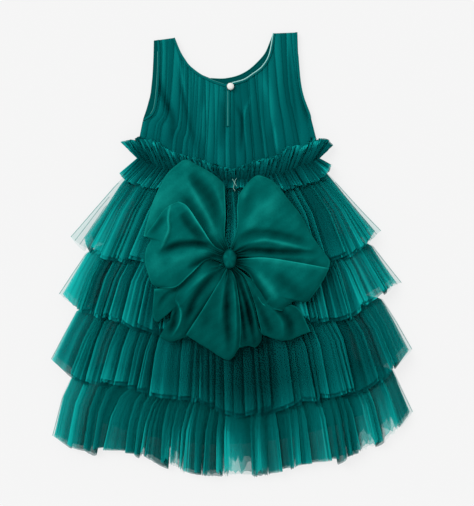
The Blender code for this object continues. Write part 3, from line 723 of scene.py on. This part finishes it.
def random_pleats(rng, count):
    """Widths, laps, heights, sideways drifts, hem drops and lightness of a run of uneven pleats; the lightness
    differs at random and scales each pleat's painted light and shade.
    """
    widths = rng.uniform(0.35, 1.0, count) ** 2.4 * 2 + 0.14
    return (widths, rng.uniform(0.3, 0.75, count), rng.uniform(0.35, 1.0, count),
            rng.uniform(-1, 1, count + 1), rng.uniform(-0.4, 1.0, count), rng.uniform(0.5, 1.3, count))


def in_runs(values, length, count):
    """Each value repeated along a run of neighbouring strands."""
    return np.repeat(values, length)[:count]


def raw_edge(rng, patch_rng, count):
    """How far each strand falls short, from 0 to 1: a little nearly everywhere and far in some patches.

    The second list is the patches alone, which are the same in every layer of a tube.
    """
    fine = rng.uniform(0, 1, count)
    tufts = in_runs(rng.uniform(0, 1, count // 4 + 1), 4, count)
    patches = in_runs(patch_rng.uniform(0, 1, count // 26 + 1) ** 4, 26, count)
    return 0.04 * fine + 0.03 * tufts + patches * (0.25 + 0.75 * fine), patches


def uneven_strands(rng, patch_rng, layer, count):
    """What varies from strand to strand: tone, how far each falls short, thin patches, and fine lines of
    painted light and shade along small creases.
    """
    streaks = 0.6 * rng.uniform(-1, 1, count) + in_runs(rng.uniform(-1, 1, count // 3 + 1), 3, count)
    frays, patches = raw_edge(rng, patch_rng, count)
    lines = 0.5 * (rng.random(count) < 0.18) * rng.uniform(0.3, 1, count)
    lines = lines - 0.3 * (rng.random(count) < 0.12)
    return Strands(streaks, frays, patches * min(1, layer.ragged / 6), lines)


def tube_shade(x, y, v, whole, closing, path, strands, layer, gathers):
    """Painted light and shade along one row: the folds, painted shade at the seam, the bow's shadows, and
    painted light on the side folds, at the free edge and in thin patches.
    """
    shade = 0.06 + 0.74 * path[:, 4] * layer.depth + 0.08 * strands.streaks
    shade = shade + strands.lines * (path[:, 2] < 0.1)
    seam = gathers.seam_shade * (1 - np.clip(v / 0.75, 0, 1)) ** 1.2
    shade = lerp(MEAN_SHADE, shade, gathers.contrast) * (1 - seam)
    for shadow in SHADOWS:
        across = (x - shadow.centre[0]) / shadow.reach[0]
        up = (y - shadow.centre[1]) / shadow.reach[1]
        shade = shade * (1 - shadow.depth * np.exp(-(across ** 2 + up ** 2)))
    shade = shade + np.where(x < 0, *SIDE_GLOW) * (1 - closing)
    shade = np.maximum(shade, SIDE_SHADE * (1 - closing ** 2))
    shade = shade + EDGE_GLOW * np.clip((v / whole - 0.86) / 0.14, 0, 1)
    if layer.depth > 0.5:
        shade = shade + PATCH_GLOW * strands.through * np.clip((v - 0.6) / 0.3, 0, 1)
    return shade


def pleated_tube(name, rows, edge, layer, gathers, seed, material, reach=(0, 0)):
    """One sheer layer of a gathered tube, folded over in uneven pleats on its back half."""
    row_count = gathers.rows
    reach_down = abs(edge[len(edge) // 2][1] - rows[0].middle_y)
    whole = 1 - max(layer.short, 0) / reach_down
    pleat_rng = np.random.default_rng(seed)
    count_left = int(round(gathers.pleats * gathers.split))
    sides = [random_pleats(pleat_rng, count) for count in (count_left, gathers.pleats - count_left)]
    rng = np.random.default_rng(seed + 500 + len(layer.name))
    grid = []
    shades = []
    front_s = np.linspace(1, -1, 60)[1:-1]
    strands = None
    for r in range(row_count):
        v = whole * (r / (row_count - 1)) ** 0.9
        path = pleated_edge(sides, gathers.split, v, gathers.opened, layer.shift)
        s = np.clip(path[:, 0], -1, 1)
        if strands is None:
            strands = uneven_strands(rng, pleat_rng, layer, len(s))
        x, y, (floor, ridge, tip, trough, wave, shoulder) = tube_row(rows, edge, s, v - SEAM_TUCK * (v == 0))
        x = x + gathers.frill * v * np.sin(9 * v + 40 * path[:, 4])
        left_x = float(np.min(x))
        right_x = float(np.max(x))
        closing = np.clip(np.minimum(x - left_x, right_x - x) / shoulder, 0, 1)
        rounding = np.sqrt(np.clip(1 - (1 - closing) ** 2, 0, 1))
        above_tip = trough + 0.7 * layer.lift + wave * layer.depth * path[:, 1] - tip
        z = tip + 0.3 * layer.lift + above_tip * rounding
        free = np.clip((v - 0.5) / 0.5, 0, 1) ** 1.5
        before_x, before_y, _ = tube_row(rows, edge, s, v - 0.05)
        stretch = np.hypot(x - before_x, y - before_y)
        further = free * gathers.drop * layer.depth * path[:, 3] * np.clip(closing, 0.15, 1)
        further = further - np.clip((v - 0.55) / 0.45, 0, 1) * layer.ragged * strands.frays
        further = further - min(layer.short, 0) * free * closing
        x = x + (x - before_x) / stretch * further
        y = y + (y - before_y) / stretch * further
        if layer.narrow is not None:
            side = layer.narrow + np.where(x < (left_x + right_x) / 2, *reach)
            x = x - np.sign(s) * np.abs(s) ** 7 * side * v
        points = np.column_stack([x, y, z])
        shade = tube_shade(x, y, v, whole, closing, path, strands, layer, gathers)
        if layer.round_tube:
            fx, fy, _ = tube_row(rows, edge, front_s, v)
            fz = floor + ridge * (0.5 - 0.5 * np.cos(front_s * 8 * math.pi)) ** 3
            fz = fz + FRONT_STEP * max(0, FRONT_OUTER_LIFT - layer.lift)
            points = np.vstack([points, np.column_stack([fx, fy, fz])])
            shade = np.concatenate([shade, np.full(len(front_s), FRONT_SHADE)])
        grid.append(points)
        shades.append(shade)
    return surface(name, np.array(grid), material, layer.round_tube, np.array(shades))


def edge_at(edge, y):
    return np.interp(y, [p[1] for p in edge], [p[0] for p in edge])


def bodice_grid(s, shares, left_edge, neckline):
    """Plan points of a bodice panel, rows from the waist to the neckline and shoulders."""
    left_top = left_edge[-1]
    right_top = RIGHT_EDGE[-1]
    top = [left_top] + neckline + [right_top]
    share = (s + 1) / 2
    waist_x = lerp(WAIST_LEFT_X, WAIST_RIGHT_X, share)
    waist_y = WAIST_SIDE_Y - WAIST_SAG * (1 - s * s)
    top_x = lerp(left_top[0], right_top[0], share)
    top_y = np.interp(top_x, [p[0] for p in top], [p[1] for p in top])
    rows = []
    for f in shares:
        left_y = lerp(WAIST_SIDE_Y, left_top[1], f)
        right_y = lerp(WAIST_SIDE_Y, right_top[1], f)
        left_move = edge_at(left_edge, left_y) - lerp(WAIST_LEFT_X, left_top[0], f)
        right_move = edge_at(RIGHT_EDGE, right_y) - lerp(WAIST_RIGHT_X, right_top[0], f)
        x = lerp(waist_x, top_x, f)
        x = x + left_move * np.clip(-s, 0, 1) ** 2 + right_move * np.clip(s, 0, 1) ** 2
        rows.append(np.column_stack([x, lerp(waist_y, top_y, f)]))
    return np.array(rows)


def bodice_tulle(material):
    """The gathered overlay of the back: soft folds lying one over the next, from neckline to waist."""
    columns = 620
    shares = np.linspace(0, 1, 30)
    s = np.linspace(-1, 1, columns + 1)
    plan = bodice_grid(s, shares, BACK_LEFT_EDGE, BACK_NECKLINE)
    rng = np.random.default_rng(23)
    widths = rng.uniform(0.25, 1, BODICE_FOLDS) ** 2.2 + 0.08
    starts = np.concatenate([[0], np.cumsum(widths)]) / np.sum(widths)
    bends = rng.uniform(-1, 1, BODICE_FOLDS + 1) * 0.5 / BODICE_FOLDS
    bends[[0, -1]] = 0
    tops = rng.uniform(0.5, 2.6, BODICE_FOLDS)
    tones = rng.uniform(-0.12, 0.14, BODICE_FOLDS)
    phases = rng.uniform(0, 6.28, BODICE_FOLDS)
    grid = np.zeros((len(shares), columns + 1, 3))
    shades = np.zeros((len(shares), columns + 1))
    for r, f in enumerate(shares):
        rise = max(0, 1 - f / RISE_ROW)
        lines = -1 + 2 * (starts + bends * math.sin(3.2 * f + 0.5))
        fold = np.clip(np.searchsorted(lines, s, side="right") - 1, 0, BODICE_FOLDS - 1)
        t = (s - lines[fold]) / (lines[fold + 1] - lines[fold])
        strength = 0.35 + 0.65 * np.sin(2.2 * f + phases[fold]) ** 2
        profile = np.sin(np.clip(t / 0.25, 0, 1) * math.pi / 2) * (1 - t) ** 0.7
        height = tops[fold] * strength * profile * np.clip((1 - np.abs(s)) / 0.03, 0, 1)
        grid[r, :, :2] = plan[r]
        grid[r, :, 2] = BACK_TULLE_HEIGHT + BACK_TULLE_RISE * rise + height * (1 if f < 1 else 0.35)
        # Painted light on each fold's rise and painted shade in the valley at its far side; the straps grow
        # lighter towards the shoulders
        valley = np.exp(-((1 - t) / 0.12) ** 2)
        shades[r] = BODICE_SHADE + tones[fold] + strength * (0.3 * profile - 0.24 * valley)
        shades[r] += 0.1 * np.clip((f - 0.55) / 0.3, 0, 1)
    # The deeper creases add painted light and shade as well as relief
    relief, light = crease_relief(grid[..., 0], grid[..., 1], BODICE_CREASES)
    grid[..., 2] += 0.5 * np.maximum(relief, -BACK_TULLE_DIP)
    piece = surface("bodice_back_gathers", grid, material, shade=shades + CREASE_CONTRAST * light, slit=True)
    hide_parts("bodice_back_tulle")
    return piece


def bodice_panel(spec, material, seed):
    """A smoother layer of the bodice, with faint wandering gathers."""
    s = np.linspace(-1, 1, 241)
    shares = np.linspace(0, 1, 24)
    plan = bodice_grid(s, shares, spec.left_edge, spec.neckline)
    rng = np.random.default_rng(seed)
    phases = rng.uniform(0, 6.28, 3)
    grid = np.zeros((len(shares), len(s), 3))
    for r, f in enumerate(shares):
        rise = max(0, 1 - f / RISE_ROW)
        wave = (np.sin(34 * s + 2 * f + phases[0]) + 0.6 * np.sin(57 * s - 3 * f + phases[1])
                + 0.4 * np.sin(91 * s + phases[2]) + 2) / 4
        calm = np.clip((1 - np.abs(s)) / 0.05, 0, 1) * (1 if f < 1 else 0.2)
        grid[r, :, :2] = plan[r]
        grid[r, :, 2] = spec.height + spec.rise * rise + spec.gather * wave * calm
    piece = surface(spec.name, grid, material, slit=spec.slit)
    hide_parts(spec.node)
    return piece


def bodice_layers(materials):
    return [bodice_panel(spec, materials["bodice_cloth"], 60 + k) for k, spec in enumerate(BODICE_LAYERS)]


def lining(material):
    """The opaque lining skirt: a flattened tube with a few soft waves on its back and a smooth front."""
    across = np.linspace(-1, 1, 121)
    grid = []
    for v in np.linspace(0, 1, 26):
        x, y, (floor_z, _, tip, trough, _, shoulder) = tube_row(SKIRT_LINING, None, across, v)
        closing = np.clip(np.minimum(x - x[0], x[-1] - x) / shoulder, 0, 1)
        rounding = np.sqrt(1 - (1 - closing) ** 2)
        wave = 0.5 * np.sin(16 * across + 3 * v) * np.sin(7 * across - 2 * v + 1)
        back = np.column_stack([x, y, tip + (trough + wave - tip) * rounding])
        fx, fy, _ = tube_row(SKIRT_LINING, None, across[::-1][1:-1], v)
        front = np.column_stack([fx, fy, np.full(len(fx), float(floor_z))])
        grid.append(np.vstack([back, front]))
    piece = surface("skirt_lining_cloth", np.array(grid), material, ring=True)
    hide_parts("skirt_lining")
    return piece


def bound_edge(node, path, width, material, middle=BINDING_MIDDLE):
    """A double-folded binding along a path in plan, on the right-hand side as the path runs."""
    line = spline(path, 6) if len(path) > 4 else np.array(path, float)
    heading = headings(line)
    inward = np.column_stack([heading[:, 1], -heading[:, 0]])
    half = width / 2
    grid = []
    for place, aside in zip(line, inward):
        grid.append([(*(place + aside * half * (1 + across)), middle + up * BINDING_HALF)
                     for across, up in BINDING_SECTION])
    piece = surface(node + "_cloth", np.array(grid), material)
    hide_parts(node)
    return piece


def bindings(material):
    half_slit = SLIT_WIDTH / 2
    neck_y = np.interp(SLIT_X, [p[0] for p in BACK_NECKLINE], [p[1] for p in BACK_NECKLINE])
    left_neck = [p for p in BACK_NECKLINE if p[0] < SLIT_X] + [(SLIT_X - half_slit, neck_y)]
    right_neck = [(SLIT_X + half_slit, neck_y)] + [p for p in BACK_NECKLINE if p[0] > SLIT_X]
    left_arm = [p for p in BACK_LEFT_EDGE if p[1] >= LEFT_ARMHOLE_Y]
    right_arm = [p for p in RIGHT_EDGE if p[1] >= RIGHT_ARMHOLE_Y][::-1]
    slit = [(SLIT_X - half_slit, SLIT_BINDING_TOP_Y), (SLIT_X - half_slit, SLIT_END_Y),
            (SLIT_X + half_slit, SLIT_END_Y), (SLIT_X + half_slit, SLIT_BINDING_TOP_Y)]
    return [
        bound_edge("neck_binding_left", left_neck, BINDING_WIDTH, material),
        bound_edge("neck_binding_right", right_neck, BINDING_WIDTH, material),
        bound_edge("armhole_binding_left", left_arm, BINDING_WIDTH, material),
        bound_edge("armhole_binding_right", right_arm, BINDING_WIDTH, material),
        bound_edge("slit_binding", slit, SLIT_BINDING_WIDTH, material, SLIT_BINDING_MIDDLE),
    ]


def crease_relief(x, y, creases):
    """Height that the creases add at each point of plan, and the painted light and shade they add to its
    colour: lighter on a ridge and in a thin line along an overlapping fold's edge, darker in a trough.
    """
    relief = np.zeros_like(x)
    light = np.zeros_like(x)
    for crease in creases:
        line = spline(crease.line, 24)
        offset_x = x[..., None] - line[:, 0]
        offset_y = y[..., None] - line[:, 1]
        away = offset_x ** 2 + offset_y ** 2
        nearest = np.argmin(away, axis=-1)
        distance = np.sqrt(np.take_along_axis(away, nearest[..., None], -1))[..., 0]
        place = arc_shares(line)[nearest]
        heading = headings(line)
        side = (np.take_along_axis(offset_x, nearest[..., None], -1)[..., 0] * heading[nearest, 1]
                - np.take_along_axis(offset_y, nearest[..., None], -1)[..., 0] * heading[nearest, 0])
        fade_in = np.sin(np.clip(place / 0.3, 0.1, 1) * math.pi / 2)
        fade = fade_in * np.sin(np.clip((1 - place) / 0.45, 0, 1) * math.pi / 2)
        soft = np.exp(-(distance / crease.width) ** 2)
        wide = np.exp(-(distance / (4 * crease.width)) ** 2)
        relief += crease.rise * soft * fade
        relief += crease.step / 2 * np.tanh(side / (0.5 * crease.width)) * wide * fade
        light += (0.045 * crease.rise * soft + 0.1 * abs(crease.step) * np.exp(-(distance / 1.2) ** 2)) * fade
    return relief, light


def side_fold(start, between, end, out):
    """The plan line of one side of a wing, from its root to its far edge."""
    return along_line(spline([start, *between, end], 12), out)


def wing_grid(spec):
    """One folded wing of the bow: from its root over the top, round its far fold and back underneath."""
    across = 84
    over = 64
    under_count = over // 6
    share = np.linspace(0, 1, across + 1)
    out = np.concatenate([np.linspace(0, 1, over) ** 0.85, np.linspace(1, 0, under_count + 1)[1:]])
    on_top = np.concatenate([np.ones(over), np.zeros(under_count)])[None, :]
    angle = np.radians(lerp(spec.angles[0], spec.angles[1], share))
    root = np.stack([KNOT_CENTRE[0] + (KNOT_RADII[0] + ROOT_GAP) * np.cos(angle),
                     KNOT_CENTRE[1] + (KNOT_RADII[1] + ROOT_GAP) * np.sin(angle)], -1)
    far = along_line(spline(spec.edge, 10), share)
    first = side_fold(root[0], spec.first_side, far[0], out)
    last = side_fold(root[-1], spec.last_side, far[-1], out)
    share = share[:, None]
    out = out[None, :]
    between_sides = lerp(first[None], last[None], share[..., None])
    between_ends = lerp(root[:, None], far[:, None], out[..., None])
    straight_first = lerp(root[0], far[0], out[..., None])
    straight_last = lerp(root[-1], far[-1], out[..., None])
    plan = between_sides + between_ends - lerp(straight_first, straight_last, share[..., None])
    x, y = plan[..., 0], plan[..., 1]
    places = [0, 0.5, 1]
    under = BOW_SEAT + lerp(spec.root, np.interp(share, places, spec.under), out)
    full = lerp(ROOT_HEIGHT, np.interp(share, places, spec.height), np.clip(out / 0.35, 0, 1) ** 0.7)
    dome = np.where(out < 0.75, 1, np.sqrt(np.clip(1 - ((out - 0.75) / 0.25) ** 2, 0, 1)))
    rise_first = np.sin(np.clip(share / 0.16, 0, 1) * math.pi / 2)
    rise_last = np.sin(np.clip((1 - share) / 0.16, 0, 1) * math.pi / 2)
    sides = lerp(spec.folds[0], 1, rise_first) * lerp(spec.folds[1], 1, rise_last)
    relief, light = crease_relief(x, y, CREASES[spec.name])
    from_knot = np.hypot(x - KNOT_CENTRE[0], y - KNOT_CENTRE[1])
    spread = abs(spec.angles[0] - spec.angles[1])
    gathers = np.sin(share * spread * 0.45 + 2.6 * np.sin(share * 9)) * np.exp(-((from_knot - 10) / 20) ** 2)
    crumple = (np.sin(x * 0.13 + y * 0.05) * np.sin(y * 0.11 - x * 0.04)
               + 0.5 * np.sin(x * 0.29 - y * 0.21 + 1.3) * np.sin(y * 0.17 + 0.6))
    height = full * (0.15 + 0.85 * dome) * sides
    height = height + (relief + 1.3 * gathers + 0.8 * crumple) * np.clip((1 - out) / 0.05, 0.1, 1)
    z = under + np.maximum(height, 1.8) * on_top
    length = np.hypot(far[:, :1] - root[:, :1], far[:, 1:] - root[:, 1:])
    side_distance = np.minimum(share, 1 - share) * np.hypot(*(last - first).T)[None, :]
    edge_distance = np.minimum(side_distance, (1 - out) * length)
    # Painted light and shade: along the creases, crumples and gathers, painted shade round the knot and
    # towards the lower tails, and a painted highlight along the folded edges
    shade = 0.5 + light + 0.05 * crumple + 0.08 * gathers
    shade = shade - 0.34 * np.exp(-((from_knot - 12) / 24) ** 2) + 0.35 * np.exp(-(edge_distance / 1.3) ** 2)
    shade = shade - 0.2 * np.clip((-y - 20) / 60, 0, 1)
    shade = np.where(on_top > 0.5, shade + WING_PAINTED_SHADING.get(spec.name, 0), 0.4)
    return np.stack([x, y, z], -1), shade


def bow(materials):
    pieces = []
    for spec in WINGS:
        grid, shade = wing_grid(spec)
        piece = surface(spec.name + "_cloth", grid, materials["bow"], shade=shade)
        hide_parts(spec.name)
        pieces.append(piece)
    return pieces


def bow_knot(material):
    """The knot: a small wrapped band, pinched at its ends and creased along its length."""
    rows = 20
    columns = 28
    grid = []
    polars = np.linspace(KNOT_OPENING, math.pi, rows + 1)
    for polar in polars:
        ring = []
        for c in range(columns):
            angle = 2 * math.pi * c / columns
            flat = math.sin(polar) ** 0.75
            crease = 1 - 0.06 * math.cos(5 * angle + 1.2 * math.sin(polar * 2))
            ring.append((KNOT_CENTRE[0] + KNOT_RADII[0] * flat * math.cos(angle) * crease,
                         KNOT_CENTRE[1] + KNOT_RADII[1] * flat * math.sin(angle) * crease,
                         BOW_SEAT + KNOT_HEIGHT / 2 * (1 - math.cos(polar))))
        grid.append(ring)
    polars = polars[:, None]
    angles = np.linspace(0, 2 * math.pi, columns, endpoint=False)[None, :]
    # Painted light and shade along the creases round the knot, and painted light on its top
    shade = 0.28 + 0.2 * np.cos(5 * angles + 1.2 * np.sin(2 * polars)) * np.sin(polars) + 0.15 * (polars > 2.2)
    piece = surface("bow_knot_cloth", np.array(grid), material, True, shade)
    body = bmesh.new()
    body.from_mesh(piece.data)
    bmesh.ops.remove_doubles(body, verts=body.verts, dist=0.00001)
    body.to_mesh(piece.data)
    body.free()
    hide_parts("bow_knot")
    return piece


def layered_tube(name, node, rows, edge, layers, gathers, seed, materials, reach=(0, 0)):
    """All sheer layers of one gathered tube, which together stand for its solid."""
    pieces = []
    for layer in layers:
        piece = pleated_tube(f"{name}_{layer.name}", rows, edge, layer, gathers, seed,
                             materials[layer.material], reach)
        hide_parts(node)
        pieces.append(piece)
    return pieces


def skirt(materials):
    pieces = []
    tiers = [(TIER_1, HEM_1), (TIER_2, HEM_2), (TIER_3, HEM_3), (TIER_4, HEM_4)]
    for number, (rows, edge) in enumerate(tiers, start=1):
        layers = HEM_LAYERS if number == 4 else TIER_LAYERS
        pieces += layered_tube(f"tier_{number}", f"skirt_tier_{number}", rows, edge, layers, TIER_GATHERS,
                               40 * number, materials, VEIL_REACH[number - 1])
        pieces.append(tip_folds(f"tier_{number}_tip_folds", rows, edge, materials["tip_fold"]))
    return pieces


def waist_ruffles(materials):
    lower = layered_tube("waist_ruffle_lower", "waist_ruffle_lower", WAIST_RUFFLE_LOWER, RUFFLE_LOWER_EDGE,
                         RUFFLE_LAYERS, LOWER_GATHERS, 300, materials)
    upper = layered_tube("waist_ruffle_upper", "waist_ruffle_upper", WAIST_RUFFLE_UPPER, RUFFLE_UPPER_EDGE,
                         RUFFLE_LAYERS, UPPER_GATHERS, 320, materials)
    return lower + upper


def edge_line(name, points, height, radius, material):
    """A fine cord laid along a line in plan."""
    line = [(x, y, height) for x, y in spline(points, 8)]
    return fine_lines(name, [line], radius, material)


def tip_folds(name, rows, edge, material):
    """The fine folded edges that show in the near-transparent side tips of a tier."""
    lines = []
    for side in (-1, 1):
        for inset, start in TIP_FOLDS:
            s = np.array([side * (1 - inset)])
            line = []
            for v in np.linspace(start, 0.99, 10):
                x, y, (_, _, tip, _, _, _) = tube_row(rows, edge, s * (1 - 0.01 * (1 - v)), v)
                line.append((x[0], y[0], tip + 0.8 + 60 * inset))
            lines.append(line)
    return fine_lines(name, lines, TIP_FOLD_RADIUS, material, resolution=1, caps=False)


def pipings(materials):
    """The light turned edges along the necklines, the back armholes and the slit. The wide, bright one on the
    right of the back neckline is a painted highlight along its turned edge.
    """
    slit_line = [(SLIT_X, SLIT_END_Y), (SLIT_X, SLIT_TOP_Y)]
    light = materials["piping"]
    soft = materials["slit"]
    return [
        edge_line("neck_piping_right", BACK_NECKLINE[6:], PIPING_HEIGHT, 0.8, light),
        edge_line("neck_piping_left", BACK_NECKLINE[:6], PIPING_HEIGHT, 0.3, soft),
        edge_line("neck_piping_front", FRONT_NECKLINE[4:], FRONT_PIPING_HEIGHT, 0.4, soft),
        edge_line("armhole_piping_left", BACK_LEFT_EDGE[3:8], PIPING_HEIGHT, 0.4, soft),
        edge_line("armhole_piping_right", RIGHT_EDGE[2:7], PIPING_HEIGHT, 0.3, soft),
        edge_line("slit_piping", slit_line, SLIT_BINDING_MIDDLE, 0.6, soft),
    ]


def floor():
    mesh = bpy.data.meshes.new("floor")
    mesh.from_pydata([(-FLOOR_REACH, -FLOOR_REACH, FLOOR_Z), (FLOOR_REACH, -FLOOR_REACH, FLOOR_Z),
                      (FLOOR_REACH, FLOOR_REACH, FLOOR_Z), (-FLOOR_REACH, FLOOR_REACH, FLOOR_Z)],
                     [], [(0, 1, 2, 3)])
    material = make_material("floor", FLOOR_GREY, 0.9)
    shader = material.node_tree.nodes["Principled BSDF"]
    shader.inputs["Emission Color"].default_value = (1, 1, 1, 1)
    shader.inputs["Emission Strength"].default_value = FLOOR_GLOW
    mesh.materials.append(material)
    obj = bpy.data.objects.new("floor", mesh)
    bpy.context.collection.objects.link(obj)


def lights():
    world = bpy.data.worlds.new("studio")
    world.use_nodes = True
    world.node_tree.nodes["Background"].inputs["Color"].default_value = (1, 1, 1, 1)
    world.node_tree.nodes["Background"].inputs["Strength"].default_value = SOFT_LIGHT
    bpy.context.scene.world = world
    light = bpy.data.lights.new("key", "SUN")
    light.energy = KEY_LIGHT
    light.angle = math.radians(35)
    obj = bpy.data.objects.new("key", light)
    obj.rotation_euler = (math.radians(-24), math.radians(-34), 0)
    bpy.context.collection.objects.link(obj)
    scene = bpy.context.scene
    scene.view_settings.view_transform = "Standard"
    scene.cycles.transparent_max_bounces = 48


def camera():
    data = bpy.data.cameras.new("camera")
    data.sensor_fit = "VERTICAL"
    data.sensor_height = SENSOR
    data.lens = SENSOR * (CAMERA_HEIGHT - MEAN_HEIGHT) / FRAME_HEIGHT
    obj = bpy.data.objects.new("camera", data)
    obj.location = (FRAME_CENTRE[0] * MM, FRAME_CENTRE[1] * MM, CAMERA_HEIGHT * MM)
    bpy.context.collection.objects.link(obj)
    bpy.context.scene.camera = obj


def thread_ends(material):
    return [edge_line(f"loose_thread_{number}", points, THREAD_HEIGHT, 0.3, material)
            for number, points in enumerate(THREAD_ENDS, start=1)]


def dress_button(material):
    """The button's solid has its true shape, and gets the pearl's material."""
    button = bpy.data.objects["button"]
    button.data.materials.clear()
    button.data.materials.append(material)


def sheets():
    """Each sheet's name, cut, flat area where it isn't a rectangle, how it is held and what it lies on."""
    rows = []
    for number, sizes in enumerate(TIER_CUTS, start=1):
        for layer, size in zip(TIER_LAYERS, sizes):
            rows.append((f"tier_{number}_{layer.name}", size, None, "gathered", "skirt_lining_cloth"))
    for node, under, sizes in RUFFLE_CUTS:
        for layer, size in zip(RUFFLE_LAYERS, sizes):
            rows.append((f"{node}_{layer.name}", size, None, "gathered", under))
    rows += [
        ("skirt_lining_cloth", LINING_CUT, LINING_AREA, "laid", "tier_1_veil"),
        ("bodice_front_gathers", OVERLAY_CUT, OVERLAY_AREA, "gathered", "bodice_front_inside"),
        ("bodice_front_inside", INSIDE_CUT, INSIDE_AREA, "laid", "bodice_front_gathers"),
        ("bodice_back_inside", INSIDE_CUT, INSIDE_AREA, "laid", "bodice_front_inside"),
        ("bodice_back_gathers", OVERLAY_CUT, OVERLAY_AREA, "gathered", "bodice_back_inside"),
    ]
    for node, length in BINDING_LENGTHS.items():
        rows.append((f"{node}_cloth", (BINDING_STRIP, length), None, "folded", "bodice_back_gathers"))
    for node, (width, length, area) in WING_CUTS.items():
        rows.append((f"{node}_cloth", (width, length), area, "folded", "tier_2_veil"))
    rows.append(("bow_knot_cloth", KNOT_CUT, None, "folded", "tier_1_veil"))
    return rows


def declare():
    """Run through each sheet's row and do nothing with it."""
    for name, flat, area, held, under in sheets():
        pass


def main():
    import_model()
    materials = make_materials()
    dress_button(materials["pearl"])
    pieces = skirt(materials) + waist_ruffles(materials) + bow(materials) + bodice_layers(materials)
    pieces += bindings(materials["binding"]) + thread_ends(materials["thread"])
    pieces.append(lining(materials["lining"]))
    pieces.append(bow_knot(materials["bow"]))
    pieces += pipings(materials)
    pieces.append(bodice_tulle(materials["bodice_tulle"]))
    for piece in pieces:
        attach(piece, "root")
    declare()
    floor()
    lights()
    camera()


main()
